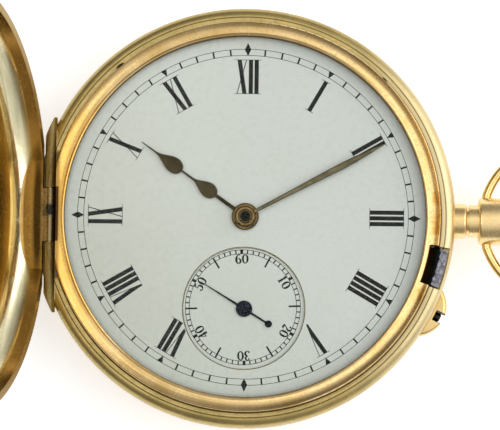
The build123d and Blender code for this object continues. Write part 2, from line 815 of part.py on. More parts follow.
# Bezel: a ridged ring with a groove for the glass, flat towards the hinge and notched at the catch
bezel_bottom = bezel_seat + fit_gap
glass_groove_bottom = band_top + glass_seat_height
glass_groove_top = glass_groove_bottom + glass_groove_width
with BuildPart() as bezel:
    with BuildSketch(Plane.XZ):
        with BuildLine():
            wall_top = (bezel_outer_radius, band_top + bezel_wall_height)
            ridge = (bezel_ridge_radius, band_top + bezel_ridge_height)
            trough = (bezel_trough_radius, band_top + bezel_trough_height)
            lip_outer = (bezel_inner_radius + bezel_lip_width, band_top + bezel_lip_height)
            Line((bezel_outer_radius, bezel_bottom), wall_top)
            ThreePointArc(
                wall_top,
                (
                    bezel_ridge_radius + (bezel_outer_radius - bezel_ridge_radius) * sin(radians(45)),
                    band_top + bezel_wall_height
                    + (bezel_ridge_height - bezel_wall_height) * sin(radians(45)),
                ),
                ridge,
            )
            ThreePointArc(
                ridge,
                (
                    (bezel_ridge_radius + bezel_trough_radius) / 2,
                    band_top + bezel_trough_height + (bezel_ridge_height - bezel_trough_height) / 4,
                ),
                trough,
            )
            Polyline(
                trough,
                lip_outer,
                (bezel_inner_radius, band_top + bezel_lip_height - bezel_lip_width / 2),
                (bezel_inner_radius, glass_groove_top),
                (bezel_inner_radius + glass_groove_depth, glass_groove_top),
                (bezel_inner_radius + glass_groove_depth, glass_groove_bottom),
                (bezel_inner_radius, glass_groove_bottom),
                (bezel_inner_radius, dial_top + running_gap),
                (bezel_inner_radius + bezel_foot_width, dial_top + running_gap),
                (bezel_inner_radius + bezel_foot_width, bezel_bottom),
                (bezel_outer_radius, bezel_bottom),
            )
        make_face()
    revolve(axis=Axis.Z)
    split(bisect_by=Plane.YZ.offset(hinge_x + knuckle_radius + fit_gap), keep=Keep.TOP)
    with BuildSketch(Plane.XY.offset(bezel_bottom)):
        ring_sector(catch_slot_inner_radius, case_radius, catch_slot_start, catch_slot_end)
    extrude(amount=band_height, mode=Mode.SUBTRACT)
bezel.part.label = "bezel"
export_step(bezel.part, "parts/bezel.step")

# Domed glass, snapped into the bezel's groove
with BuildPart() as crystal:
    glass_edge_radius = bezel_inner_radius + glass_groove_depth - running_gap
    glass_neck_radius = bezel_inner_radius - running_gap
    glass_bottom = glass_groove_bottom + fit_gap
    glass_edge_top = glass_groove_top - fit_gap
    glass_inner_top = glass_bottom + glass_rise
    with BuildSketch(Plane.XZ):
        with BuildLine():
            ThreePointArc(
                (0, glass_inner_top),
                dome_point(glass_inner_top, glass_bottom, glass_neck_radius),
                (glass_neck_radius, glass_bottom),
            )
            Polyline(
                (glass_neck_radius, glass_bottom),
                (glass_edge_radius, glass_bottom),
                (glass_edge_radius, glass_edge_top),
                (glass_neck_radius, glass_edge_top),
            )
            ThreePointArc(
                (glass_neck_radius, glass_edge_top),
                dome_point(glass_inner_top + glass_thickness, glass_edge_top, glass_neck_radius),
                (0, glass_inner_top + glass_thickness),
            )
            Line((0, glass_inner_top + glass_thickness), (0, glass_inner_top))
        make_face()
    revolve(axis=Axis.Z)
crystal.part.label = "crystal"
export_step(crystal.part, "parts/crystal.step")

# Front cover, made closed and then swung open. Its hollow is a piece of its own that is cut away
front_rim_bottom = band_top + cover_seat_gap
front_shoulder_top = band_top + front_shoulder_height
front_dome_top = band_top + front_dome_height
window_hole_radius = window_radius - window_ledge_width
with BuildPart() as front_cover_hollow:
    with BuildSketch(Plane.XZ):
        with BuildLine():
            inner_radius = cover_radius - cover_rim_width
            inner_shoulder = (front_shoulder_radius - cover_wall / 2, front_shoulder_top - cover_wall)
            rim_top = (inner_radius, band_top + front_rim_height)
            Polyline((0, front_rim_bottom - overrun), (inner_radius, front_rim_bottom - overrun), rim_top)
            ThreePointArc(
                rim_top,
                (
                    inner_shoulder[0] + (inner_radius - inner_shoulder[0]) * sin(radians(45)),
                    rim_top[1] + (inner_shoulder[1] - rim_top[1]) * sin(radians(45)),
                ),
                inner_shoulder,
            )
            inner_dome = (window_hole_radius, front_dome_top - cover_wall)
            ThreePointArc(
                inner_shoulder,
                (
                    (inner_shoulder[0] + inner_dome[0]) / 2,
                    inner_dome[1] - (inner_dome[1] - inner_shoulder[1]) * 0.36,
                ),
                inner_dome,
            )
            Polyline(inner_dome, (0, inner_dome[1]), (0, front_rim_bottom - overrun))
        make_face()
    revolve(axis=Axis.Z)
    split(bisect_by=Plane.YZ.offset(hinge_x + hinge_wall_outer + hinge_wall_thickness), keep=Keep.TOP)

with BuildPart() as closed_front_cover:
    with BuildSketch(Plane.XZ):
        with BuildLine():
            rim_top = (cover_radius, band_top + front_rim_height + cover_wall / 2)
            shoulder = (front_shoulder_radius, front_shoulder_top)
            Polyline((0, front_rim_bottom), (cover_radius, front_rim_bottom), rim_top)
            ThreePointArc(
                rim_top,
                (
                    shoulder[0] + (cover_radius - shoulder[0]) * sin(radians(45)),
                    rim_top[1] + (shoulder[1] - rim_top[1]) * sin(radians(45)),
                ),
                shoulder,
            )
            window_rim = (window_radius + window_rim_width, front_dome_top)
            ThreePointArc(
                shoulder,
                ((shoulder[0] + window_rim[0]) / 2, window_rim[1] - (window_rim[1] - shoulder[1]) * 0.36),
                window_rim,
            )
            Polyline(
                window_rim,
                (window_radius + window_rim_width - window_rim_height, front_dome_top + window_rim_height),
                (window_radius, front_dome_top + window_rim_height),
                (window_radius, front_dome_top - window_glass_thickness / 2),
                (0, front_dome_top - window_glass_thickness / 2),
                (0, front_rim_bottom),
            )
        make_face()
    revolve(axis=Axis.Z)
    split(bisect_by=Plane.YZ.offset(hinge_x + hinge_wall_outer), keep=Keep.TOP)
    add(front_cover_hollow.part, mode=Mode.SUBTRACT)
    disc(center, window_hole_radius, front_rim_bottom, front_dome_top + overrun, mode=Mode.SUBTRACT)
    # The groove that the lock spring's hook catches
    with BuildSketch(Plane.XY.offset(band_top + hook_bottom - running_gap)):
        ring_sector(cover_radius - cover_rim_width - overrun,
                    cover_radius - cover_rim_width + cover_catch_depth, catch_slot_start, catch_slot_end)
    extrude(amount=hook_top - hook_bottom + 3 * running_gap, mode=Mode.SUBTRACT)
    seat_length = (front_hinge_length - front_middle_knuckle) / 2 + overrun
    for side in (-1, 1):
        knuckle(front_hinge_z, knuckle_radius + knuckle_clearance,
                side * (front_middle_knuckle / 2 - running_gap + seat_length / 2), seat_length,
                mode=Mode.SUBTRACT)
    # Its own knuckle, held by a tongue under the rim
    knuckle(front_hinge_z, knuckle_radius, 0, front_middle_knuckle - 2 * running_gap)
    with BuildSketch(Plane.XY.offset(front_hinge_z + joint_tongue_rise)):
        tongue_width = hinge_wall_outer / 2 + hinge_wall_thickness
        with Locations((hinge_x + hinge_wall_outer / 2 + tongue_width / 2, 0)):
            Rectangle(tongue_width, front_middle_knuckle - 2 * running_gap)
    extrude(amount=front_rim_bottom + hinge_wall_thickness - front_hinge_z - joint_tongue_rise)
    knuckle(front_hinge_z, hinge_pin_radius + running_gap, 0, front_hinge_length, mode=Mode.SUBTRACT)

front_hinge_axis = Axis((hinge_x, 0, front_hinge_z), (0, 1, 0))
with BuildPart() as front_cover:
    add(closed_front_cover.part.rotate(front_hinge_axis, -front_open_angle))
front_cover.part.label = "front_cover"
export_step(front_cover.part, "parts/front_cover.step")

# Glass of the window in the front cover
with BuildPart() as closed_window:
    window_bottom = front_dome_top - window_glass_thickness / 2 + fit_gap
    disc(center, window_radius - fit_gap, window_bottom, window_bottom + window_glass_thickness)
    chamfer(closed_window.edges().group_by(Axis.Z)[-1], window_rim_height)
with BuildPart() as cover_window:
    add(closed_window.part.rotate(front_hinge_axis, -front_open_angle))
cover_window.part.label = "cover_window"
export_step(cover_window.part, "parts/cover_window.step")

# Back cover: a shallow dish that stands on its flat
back_rim_top = band_bottom - cover_seat_gap
with BuildPart() as back_cover_hollow:
    with BuildSketch(Plane.XZ):
        with BuildLine():
            inner_radius = cover_radius - cover_rim_width
            rim_end = (inner_radius, back_rim_top - back_rim_height + cover_wall / 2)
            shoulder = (back_shoulder_radius - cover_wall, back_shoulder_height + cover_wall)
            Polyline((0, cover_wall), (back_flat_radius, cover_wall))
            ThreePointArc(
                (back_flat_radius, cover_wall),
                ((back_flat_radius + shoulder[0]) / 2, cover_wall + back_shoulder_mid_height),
                shoulder,
            )
            Line(shoulder, rim_end)
            Polyline(
                rim_end,
                (inner_radius, back_rim_top + overrun),
                (0, back_rim_top + overrun),
                (0, cover_wall),
            )
        make_face()
    revolve(axis=Axis.Z)
    split(bisect_by=Plane.YZ.offset(hinge_x + hinge_wall_outer + hinge_wall_thickness), keep=Keep.TOP)

with BuildPart() as back_cover:
    with BuildSketch(Plane.XZ):
        with BuildLine():
            rim_end = (cover_radius, back_rim_top - back_rim_height)
            shoulder = (back_shoulder_radius, back_shoulder_height)
            Line((0, 0), (back_flat_radius, 0))
            ThreePointArc(
                (back_flat_radius, 0),
                ((back_flat_radius + shoulder[0]) / 2, back_shoulder_mid_height),
                shoulder,
            )
            ThreePointArc(
                shoulder,
                (
                    shoulder[0] + (cover_radius - shoulder[0]) * sin(radians(45)),
                    shoulder[1] + (rim_end[1] - shoulder[1]) * (1 - sin(radians(45))),
                ),
                rim_end,
            )
            Polyline(rim_end, (cover_radius, back_rim_top), (0, back_rim_top), (0, 0))
        make_face()
    revolve(axis=Axis.Z)
    split(bisect_by=Plane.YZ.offset(hinge_x + hinge_wall_outer), keep=Keep.TOP)
    add(back_cover_hollow.part, mode=Mode.SUBTRACT)
    seat_length = (back_hinge_length - back_cover_knuckles) / 2 + overrun
    knuckle_length = (back_cover_knuckles - dust_knuckle) / 2 - 2 * running_gap
    knuckle(back_hinge_z, knuckle_radius + knuckle_clearance, 0, dust_knuckle + 2 * running_gap,
            mode=Mode.SUBTRACT)
    for side in (-1, 1):
        knuckle(back_hinge_z, knuckle_radius + knuckle_clearance,
                side * (back_cover_knuckles / 2 - running_gap + seat_length / 2), seat_length,
                mode=Mode.SUBTRACT)
        knuckle(back_hinge_z, knuckle_radius,
                side * (dust_knuckle / 2 + running_gap + knuckle_length / 2), knuckle_length)
    knuckle(back_hinge_z, hinge_pin_radius + running_gap, 0, back_hinge_length, mode=Mode.SUBTRACT)
back_cover.part.label = "back_cover"
export_step(back_cover.part, "parts/back_cover.step")

# Dust cover inside the back cover, on the same pin
dust_top = band_bottom - running_gap
with BuildPart() as dust_cover:
    with BuildSketch(Plane.XZ):
        with BuildLine():
            outer_foot = (dust_radius - dust_flange_width / 2, dust_top - dust_thickness)
            inner_foot = (dust_radius - dust_flange_width, dust_top)
            low = dust_top - dust_thickness - dust_drop
            ThreePointArc(
                (0, low),
                dome_point(low, outer_foot[1], outer_foot[0]),
                outer_foot,
            )
            Polyline(outer_foot, (dust_radius, outer_foot[1]), (dust_radius, dust_top), inner_foot)
            ThreePointArc(
                inner_foot,
                dome_point(low + dust_thickness, dust_top, inner_foot[0]),
                (0, low + dust_thickness),
            )
            Line((0, low + dust_thickness), (0, low))
        make_face()
    revolve(axis=Axis.Z)
    dust_arm_length = dust_radius - dust_flange_width / 2 + hinge_x
    with BuildSketch(Plane.XY.offset(dust_top - dust_thickness)):
        with Locations(((hinge_x - dust_radius + dust_flange_width / 2) / 2, 0)):
            Rectangle(abs(dust_arm_length), dust_knuckle - 2 * running_gap)
    extrude(amount=dust_thickness)
    knuckle(back_hinge_z, knuckle_radius, 0, dust_knuckle - 2 * running_gap)
    knuckle(back_hinge_z, hinge_pin_radius + running_gap, 0, back_hinge_length, mode=Mode.SUBTRACT)
dust_cover.part.label = "dust_cover"
export_step(dust_cover.part, "parts/dust_cover.step")


def band_spring(start_angle, end_angle):
    """A curved steel strip of the current part with a screw eye at its fixed end."""
    strip_bottom = spring_channel_bottom + spring_side_gap
    strip_height = spring_channel_top - spring_channel_bottom - 2 * spring_side_gap
    with BuildSketch(Plane.XY.offset(strip_bottom)) as face:
        ring_sector(spring_inner_radius, spring_inner_radius + spring_thickness, start_angle, end_angle)
        with Locations(polar(spring_inner_radius + spring_thickness / 2, start_angle)):
            Circle(spring_boss_radius)
    extrude(face.sketch, amount=strip_height)
    disc(polar(spring_inner_radius + spring_thickness / 2, start_angle), spring_screw_radius + fit_gap,
         strip_bottom, spring_channel_top, mode=Mode.SUBTRACT)


# Lock spring with its catch and hook
with BuildPart() as lock_spring:
    band_spring(lock_spring_start, lock_spring_end)
    catch_top = band_top - catch_top_gap
    with BuildSketch(Plane.XY.offset(spring_channel_bottom + spring_side_gap)):
        ring_sector(spring_inner_radius, spring_channel_radius - spring_side_gap,
                    lock_catch_start, lock_catch_end)
    extrude(amount=catch_top - spring_channel_bottom - spring_side_gap)
    with BuildSketch(Plane.XY.offset(spring_channel_bottom + spring_side_gap)):
        ring_sector(catch_inner_radius, catch_outer_radius, lock_catch_start, lock_catch_end)
    extrude(amount=catch_top - spring_channel_bottom - spring_side_gap)
    with BuildSketch(Plane.XY.offset(catch_top)):
        ring_sector(catch_inner_radius, cover_radius - cover_rim_width - running_gap,
                    lock_catch_start, lock_catch_end)
    extrude(amount=hook_bottom + catch_top_gap)
    with BuildSketch(Plane.XY.offset(band_top + hook_bottom)):
        ring_sector(catch_inner_radius, hook_outer_radius, lock_catch_start, lock_catch_end)
    extrude(amount=hook_top - hook_bottom)
lock_spring.part.label = "lock_spring"
export_step(lock_spring.part, "parts/lock_spring.step")

# Fly spring that lifts the front cover
with BuildPart() as fly_spring:
    band_spring(fly_spring_start, fly_spring_end)
fly_spring.part.label = "fly_spring"
export_step(fly_spring.part, "parts/fly_spring.step")

# The two screws of the springs
with BuildPart() as spring_screws:
    for angle in (lock_spring_start, fly_spring_start):
        disc(polar(spring_inner_radius + spring_thickness / 2, angle), spring_screw_radius,
             spring_channel_bottom - spring_screw_length + fit_gap, spring_channel_top - running_gap)
spring_screws.part.label = "spring_screws"
export_step(spring_screws.part, "parts/spring_screws.step")

# Pendant: two neck rings and the round head that carries the bow
with BuildPart() as pendant:
    rod(collar_radius, pendant_start, collar_end)
    rod(neck_groove_radius, collar_end, neck_groove_end)
    rod(neck_ring_radius, neck_groove_end, neck_ring_end)
    fillet(pendant.edges().filter_by(GeomType.CIRCLE).filter_by_position(
        Axis.X, collar_end - fit_gap, collar_end + fit_gap).group_by(SortBy.LENGTH)[-1], head_edge)
    rod(head_radius, neck_ring_end, head_end)
    fillet(pendant.edges().filter_by(GeomType.CIRCLE).group_by(SortBy.LENGTH)[-1], head_edge)
    rod(pendant_bore_radius, pendant_start, head_end, mode=Mode.SUBTRACT)
    for side in (-1, 1):
        with BuildSketch(Plane.XZ.offset(-side * (bow_pin_inner - running_gap))):
            with Locations((bow_pivot_x, pendant_height)):
                Circle(bow_wire_radius + running_gap)
        extrude(amount=-side * head_radius, mode=Mode.SUBTRACT)
pendant.part.label = "pendant"
export_step(pendant.part, "parts/pendant.step")

# Bow: two pins in the head, a bend each, and the round loop
with BuildPart() as bow:
    with BuildLine(Plane.XY.offset(pendant_height)) as bow_path:
        pin_line = Line((bow_pivot_x, bow_pin_inner), (bow_pivot_x, bow_shoulder_y))
        root = JernArc(pin_line @ 1, pin_line % 1, bow_root_bend_radius, -bow_root_turn)
        shoulder_arc = JernArc(root @ 1, root % 1, bow_side_bend_radius, bow_root_turn - 90)
        end_arc = JernArc(shoulder_arc @ 1, shoulder_arc % 1, (shoulder_arc @ 1).Y, -90)
        mirror(about=Plane.XZ)
    with BuildSketch(Plane(origin=pin_line @ 0, z_dir=pin_line % 0)):
        Circle(bow_wire_radius)
    sweep(path=bow_path.wires()[0])
bow.part.label = "bow"
export_step(bow.part, "parts/bow.step")

# Release sleeve round the stem: pressed in, its collar pushes the lock spring
sleeve_end = head_end + press_travel
with BuildPart() as release_sleeve:
    rod(sleeve_collar_radius, sleeve_collar_start, sleeve_collar_start + sleeve_collar_length)
    rod(sleeve_radius, sleeve_collar_start, sleeve_end)
    rod(stem_radius + running_gap, sleeve_collar_start, sleeve_end, mode=Mode.SUBTRACT)
release_sleeve.part.label = "release_sleeve"
export_step(release_sleeve.part, "parts/release_sleeve.step")

# Crown with its flutes
crown_start = head_end + press_travel + crown_gap
with BuildPart() as crown:
    rod(crown_radius, crown_start, crown_start + crown_length)
    fillet(crown.edges().group_by(Axis.X)[-1], crown_edge)
    fillet(crown.edges().group_by(Axis.X)[0], crown_edge / 2)
    with BuildSketch(Plane.YZ.offset(crown_start)):
        with Locations((0, pendant_height)):
            with PolarLocations(crown_radius, crown_flutes):
                Circle(crown_flute_radius)
    extrude(amount=crown_length, mode=Mode.SUBTRACT)
    rod(stem_radius + fit_gap, crown_start, crown_start + crown_length / 2, mode=Mode.SUBTRACT)
crown.part.label = "crown"
export_step(crown.part, "parts/crown.step")


def stem_square_length(side_length, start, end, mode=Mode.ADD):
    """A square length of the current part along the winding stem."""
    with BuildSketch(Plane.YZ.offset(start)) as face:
        with Locations((0, pendant_height)):
            Rectangle(side_length, side_length)
    extrude(face.sketch, amount=end - start, mode=mode)


# Winding stem: tip, square and round shank
with BuildPart() as winding_stem:
    rod(stem_tip_radius, stem_tip, stem_square_start)
    stem_square_length(stem_square, stem_square_start, stem_square_end)
    rod(stem_radius, stem_square_end, crown_start + crown_length / 2 - running_gap)
winding_stem.part.label = "winding_stem"
export_step(winding_stem.part, "parts/winding_stem.step")

# Winding pinion on the square, whose teeth reach the crown wheel
winding_pinion_end = winding_pinion_start + winding_pinion_length
with BuildPart() as winding_pinion:
    rod(winding_pinion_root_radius, winding_pinion_start, winding_pinion_end)
    with BuildSketch(Plane.YZ.offset(winding_pinion_start)):
        with Locations((0, pendant_height)):
            with PolarLocations((winding_pinion_root_radius + winding_pinion_tip_radius) / 2,
                                winding_pinion_teeth, start_angle=-90):
                Rectangle(winding_pinion_tip_radius - winding_pinion_root_radius + running_gap,
                          winding_tooth_width)
    extrude(amount=winding_pinion_length)
    with BuildSketch(Plane.YZ.offset(winding_pinion_start)):
        with Locations((0, pendant_height)):
            with PolarLocations(clutch_radius, clutch_face_teeth):
                Rectangle(clutch_radius, stem_square)
    extrude(amount=clutch_face_depth, mode=Mode.SUBTRACT)
    stem_square_length(stem_square + 2 * running_gap, winding_pinion_start, winding_pinion_end,
                       mode=Mode.SUBTRACT)
winding_pinion.part.label = "winding_pinion"
export_step(winding_pinion.part, "parts/winding_pinion.step")

# Sliding pinion with the groove of the clutch lever
with BuildPart() as sliding_pinion:
    rod(clutch_radius, clutch_start, clutch_end)
    with BuildSketch(Plane.YZ.offset(clutch_end)):
        with Locations((0, pendant_height)):
            with PolarLocations((clutch_radius + stem_square) / 2 + running_gap, clutch_face_teeth):
                Rectangle(clutch_radius / 2 - running_gap, stem_square / 2)
    extrude(amount=clutch_face_depth)
    with BuildSketch(Plane.YZ.offset(clutch_groove_start)):
        with Locations((0, pendant_height)):
            Circle(clutch_radius + overrun)
            Circle(clutch_groove_radius, mode=Mode.SUBTRACT)
    extrude(amount=clutch_groove_end - clutch_groove_start, mode=Mode.SUBTRACT)
    with BuildSketch(Plane.YZ.offset(clutch_start)):
        with Locations((0, pendant_height)):
            with PolarLocations(clutch_radius, 2 * clutch_face_teeth):
                Rectangle(clutch_radius / 2, stem_square / 4)
    extrude(amount=clutch_face_depth, mode=Mode.SUBTRACT)
    stem_square_length(stem_square + 2 * running_gap, clutch_start, clutch_end + clutch_face_depth,
                       mode=Mode.SUBTRACT)
sliding_pinion.part.label = "sliding_pinion"
export_step(sliding_pinion.part, "parts/sliding_pinion.step")

# Clutch lever, whose finger runs in the groove
with BuildPart() as clutch_lever:
    with BuildSketch(Plane.XY.offset(lever_bottom)):
        blob(clutch_lever_pivot, clutch_lever_boss_radius,
             (clutch_lever_pivot[0], clutch_lever_shoulder_y - clutch_lever_half_width),
             clutch_lever_half_width)
        finger_length = clutch_finger_tip_y - clutch_lever_shoulder_y + clutch_lever_half_width
        with Locations((clutch_lever_pivot[0], clutch_finger_tip_y - finger_length / 2)):
            Rectangle(2 * clutch_finger_half_width, finger_length)
        with Locations(clutch_lever_pivot):
            Circle(lever_post_radius + running_gap, mode=Mode.SUBTRACT)
    extrude(amount=lever_thickness)
clutch_lever.part.label = "clutch_lever"
export_step(clutch_lever.part, "parts/clutch_lever.step")

# Setting lever between the push pin and the clutch lever
with BuildPart() as setting_lever:
    with BuildSketch(Plane.XY.offset(lever_bottom)):
        blob(setting_lever_pivot, setting_lever_boss_radius, setting_lever_knee, setting_lever_half_width)
        blob(setting_lever_knee, setting_lever_half_width, setting_lever_nose, setting_lever_half_width / 2)
        with Locations(setting_lever_pivot):
            Circle(lever_post_radius + running_gap, mode=Mode.SUBTRACT)
    extrude(amount=lever_thickness)
setting_lever.part.label = "setting_lever"
export_step(setting_lever.part, "parts/setting_lever.step")


def push_pin_plane(radius):
    """The plane across the push pin at this distance from the watch's centre."""
    way = (cos(radians(push_pin_angle)), sin(radians(push_pin_angle)), 0)
    return Plane(origin=(radius * way[0], radius * way[1], push_pin_height), z_dir=way)


# Push pin
with BuildPart() as push_pin:
    with BuildSketch(push_pin_plane(push_pin_inner)):
        Circle(push_pin_radius)
    extrude(amount=push_pin_outer - push_pin_inner)
    fillet(push_pin.edges().filter_by(GeomType.CIRCLE).sort_by(Axis.X)[-1], push_pin_radius / 2)
push_pin.part.label = "push_pin"
export_step(push_pin.part, "parts/push_pin.step")

# Guard round the push pin: a lens on the band with a slot across it
with BuildPart() as push_pin_guard:
    guard_root = sqrt(case_radius**2 - guard_half_length**2)
    guard_sagitta = case_radius + guard_peak - guard_root
    guard_radius = (guard_half_length**2 + guard_sagitta**2) / (2 * guard_sagitta)
    with BuildSketch(turned_plane(push_pin_height - guard_height / 2, push_pin_angle)):
        with Locations((case_radius + guard_peak - guard_radius, 0)):
            Circle(guard_radius)
    extrude(amount=guard_height)
    fillet(push_pin_guard.edges().filter_by(GeomType.CIRCLE), guard_edge)
    disc(center, case_radius + fit_gap, push_pin_height - guard_height, push_pin_height + guard_height,
         mode=Mode.SUBTRACT)
    with BuildSketch(turned_plane(push_pin_height - guard_height, push_pin_angle)):
        with Locations((case_radius + guard_base + guard_peak, 0)):
            Rectangle(2 * guard_peak, guard_slot_width)
    extrude(amount=2 * guard_height, mode=Mode.SUBTRACT)
    with BuildSketch(push_pin_plane(movement_bore_radius)):
        Circle(push_pin_radius + running_gap)
    extrude(amount=case_radius, mode=Mode.SUBTRACT)
push_pin_guard.part.label = "push_pin_guard"
export_step(push_pin_guard.part, "parts/push_pin_guard.step")

# Case screws that hold the movement against the band's inner lip
with BuildPart() as case_screws:
    for angle in case_screw_angles:
        head_top = plate_bottom - 2 * fit_gap - plate_lip_thickness
        slotted_screw(polar(case_screw_circle, angle), head_top - case_screw_head_height, head_top,
                      case_screw_head_radius, spring_screw_radius, plate_top - running_gap)
case_screws.part.label = "case_screws"
export_step(case_screws.part, "parts/case_screws.step")

# Main plate with the recess of the motion work, posts, stem block and holes
plate_jewel_centers = (third_center, fourth_center, escape_center, pallet_center, balance_center)
with BuildPart() as main_plate:
    disc(center, plate_radius, plate_bottom, plate_top)
    with BuildSketch(Plane.XY.offset(motion_floor)):
        Circle(hour_teeth * hour_module / 2 + hour_module + recess_gap)
        with Locations(minute_center):
            Circle(cannon_module * (minute_teeth / 2 + 1) + recess_gap)
        with Locations(setting_center):
            Circle(cannon_module * (setting_teeth / 2 + 1) + recess_gap)
    extrude(amount=plate_top - motion_floor, mode=Mode.SUBTRACT)
    slot_length = plate_radius - stem_slot_start + overrun
    with BuildSketch(Plane.XY.offset(plate_bottom)):
        with Locations((stem_slot_start + slot_length / 2, 0)):
            Rectangle(slot_length, 2 * stem_slot_half_width)
    extrude(amount=plate_thickness, mode=Mode.SUBTRACT)
    with BuildSketch(Plane.XY.offset(stem_block_bottom)):
        with Locations(((stem_block_start + stem_block_end) / 2, 0)):
            Rectangle(stem_block_end - stem_block_start, 2 * stem_block_half_width)
    extrude(amount=plate_bottom - stem_block_bottom)
    rod(stem_tip_radius + running_gap, stem_tip - 2 * press_travel, stem_block_end, mode=Mode.SUBTRACT)
    for post in (clutch_lever_pivot, setting_lever_pivot):
        disc(post, lever_post_radius, lever_bottom - running_gap, plate_bottom)
    for post in (minute_center, setting_center):
        disc(post, setting_post_radius, motion_floor, minute_pinion_top)
    disc(center, center_arbor_radius + running_gap, plate_bottom, plate_top, mode=Mode.SUBTRACT)
    for spot in plate_jewel_centers:
        disc(spot, jewel_radius + jewel_fit, plate_bottom, plate_top, mode=Mode.SUBTRACT)
    disc(barrel_center, barrel_pivot_radius + running_gap, plate_bottom, plate_top, mode=Mode.SUBTRACT)
    for spot in barrel_pillars + train_pillars + (cock_foot,):
        disc(spot, screw_shank_radius + fit_gap, plate_bottom, plate_top, mode=Mode.SUBTRACT)
    for spot in pallet_feet:
        disc(spot, spring_screw_radius + fit_gap, plate_bottom, plate_top, mode=Mode.SUBTRACT)
    for angle in case_screw_angles:
        disc(polar(case_screw_circle, angle), spring_screw_radius + fit_gap, plate_bottom, plate_top,
             mode=Mode.SUBTRACT)
    with BuildSketch(Plane.XY.offset(dial_bottom - dial_foot_length)):
        with PolarLocations(dial_foot_circle, 3, start_angle=90):
            Circle(dial_foot_radius + running_gap)
    extrude(amount=dial_foot_length, mode=Mode.SUBTRACT)
main_plate.part.label = "main_plate"
export_step(main_plate.part, "parts/main_plate.step")


def cock_outline(margin):
    """The balance cock's face in the current sketch, grown by a margin."""
    blob(cock_foot, cock_foot_radius + margin, balance_center, cock_table_radius + margin)


def cut_bridge_openings():
    """Room for the balance, its cock and the winding wheels in a bridge of the current part."""
    with BuildSketch(Plane.XY.offset(bridge_bottom)) as balance_room:
        with Locations(balance_center):
            Circle(balance_recess_radius)
        cock_outline(cock_clearance)
    extrude(balance_room.sketch, amount=bridge_top - bridge_bottom, mode=Mode.SUBTRACT)
    with BuildSketch(Plane.XY.offset(bridge_bottom)) as winding_room:
        with Locations(barrel_center):
            Circle(ratchet_tip_radius + recess_gap)
        ring_sector(ratchet_tip_radius, click_recess_outer, click_recess_start, click_recess_end,
                    barrel_center)
        with Locations(crown_wheel_center):
            Circle(crown_wheel_tip_radius + recess_gap)
    extrude(winding_room.sketch, amount=winding_recess, mode=Mode.SUBTRACT)
    with BuildSketch(Plane.XY.offset(bridge_bottom)) as pinion_window:
        with Locations(((winding_pinion_start + winding_pinion_end) / 2, 0)):
            Rectangle(winding_pinion_length + 2 * recess_gap, 2 * winding_pinion_tip_radius)
    extrude(pinion_window.sketch, amount=bridge_top - bridge_bottom, mode=Mode.SUBTRACT)


def pillars(spots):
    """Feet of a bridge of the current part, drilled and sunk for their screws."""
    for spot in spots:
        disc(spot, pillar_radius, bridge_bottom, plate_bottom - fit_gap)
    for spot in spots:
        disc(spot, screw_shank_radius + fit_gap, bridge_bottom, plate_bottom, mode=Mode.SUBTRACT)
        disc(spot, screw_head_radius + fit_gap, bridge_bottom, bridge_bottom + screw_head_height,
             mode=Mode.SUBTRACT)


# Barrel bridge
with BuildPart() as barrel_bridge:
    disc(center, bridge_radius, bridge_bottom, bridge_top)
    split(bisect_by=Plane.XZ.offset(-barrel_bridge_edge), keep=Keep.BOTTOM)
    cut_bridge_openings()
    disc(crown_wheel_center, crown_core_radius, winding_wheel_z, bridge_top)
    disc(crown_wheel_center, spring_screw_radius + fit_gap, winding_wheel_z, bridge_top,
         mode=Mode.SUBTRACT)
    disc(barrel_center, barrel_journal_radius + running_gap, bridge_bottom, bridge_top,
         mode=Mode.SUBTRACT)
    disc(center, jewel_radius + jewel_fit, bridge_bottom, bridge_top, mode=Mode.SUBTRACT)
    disc(click_pivot, screw_shank_radius, winding_wheel_z, bridge_bottom + winding_recess)
    pillars(barrel_pillars)
barrel_bridge.part.label = "barrel_bridge"
export_step(barrel_bridge.part, "parts/barrel_bridge.step")

# Train bridge
with BuildPart() as train_bridge:
    disc(center, bridge_radius, bridge_bottom, bridge_top)
    split(bisect_by=Plane.XZ.offset(-train_bridge_edge), keep=Keep.TOP)
    cut_bridge_openings()
    for spot in (third_center, fourth_center, escape_center):
        disc(spot, jewel_radius + jewel_fit, bridge_bottom, bridge_top, mode=Mode.SUBTRACT)
    pillars(train_pillars)
train_bridge.part.label = "train_bridge"
export_step(train_bridge.part, "parts/train_bridge.step")

# Pallet bridge: a low bar on two feet
with BuildPart() as pallet_bridge:
    with BuildSketch(Plane.XY.offset(pallet_bridge_bottom)):
        blob(pallet_feet[0], pallet_bridge_end_radius, pallet_feet[1], pallet_bridge_end_radius)
    extrude(amount=pallet_bridge_top - pallet_bridge_bottom)
    for spot in pallet_feet:
        disc(spot, pallet_bridge_end_radius, pallet_bridge_bottom, plate_bottom - fit_gap)
        disc(spot, spring_screw_radius + fit_gap, pallet_bridge_bottom, plate_bottom, mode=Mode.SUBTRACT)
    disc(pallet_center, jewel_radius + jewel_fit, pallet_bridge_bottom, pallet_bridge_top,
         mode=Mode.SUBTRACT)
pallet_bridge.part.label = "pallet_bridge"
export_step(pallet_bridge.part, "parts/pallet_bridge.step")

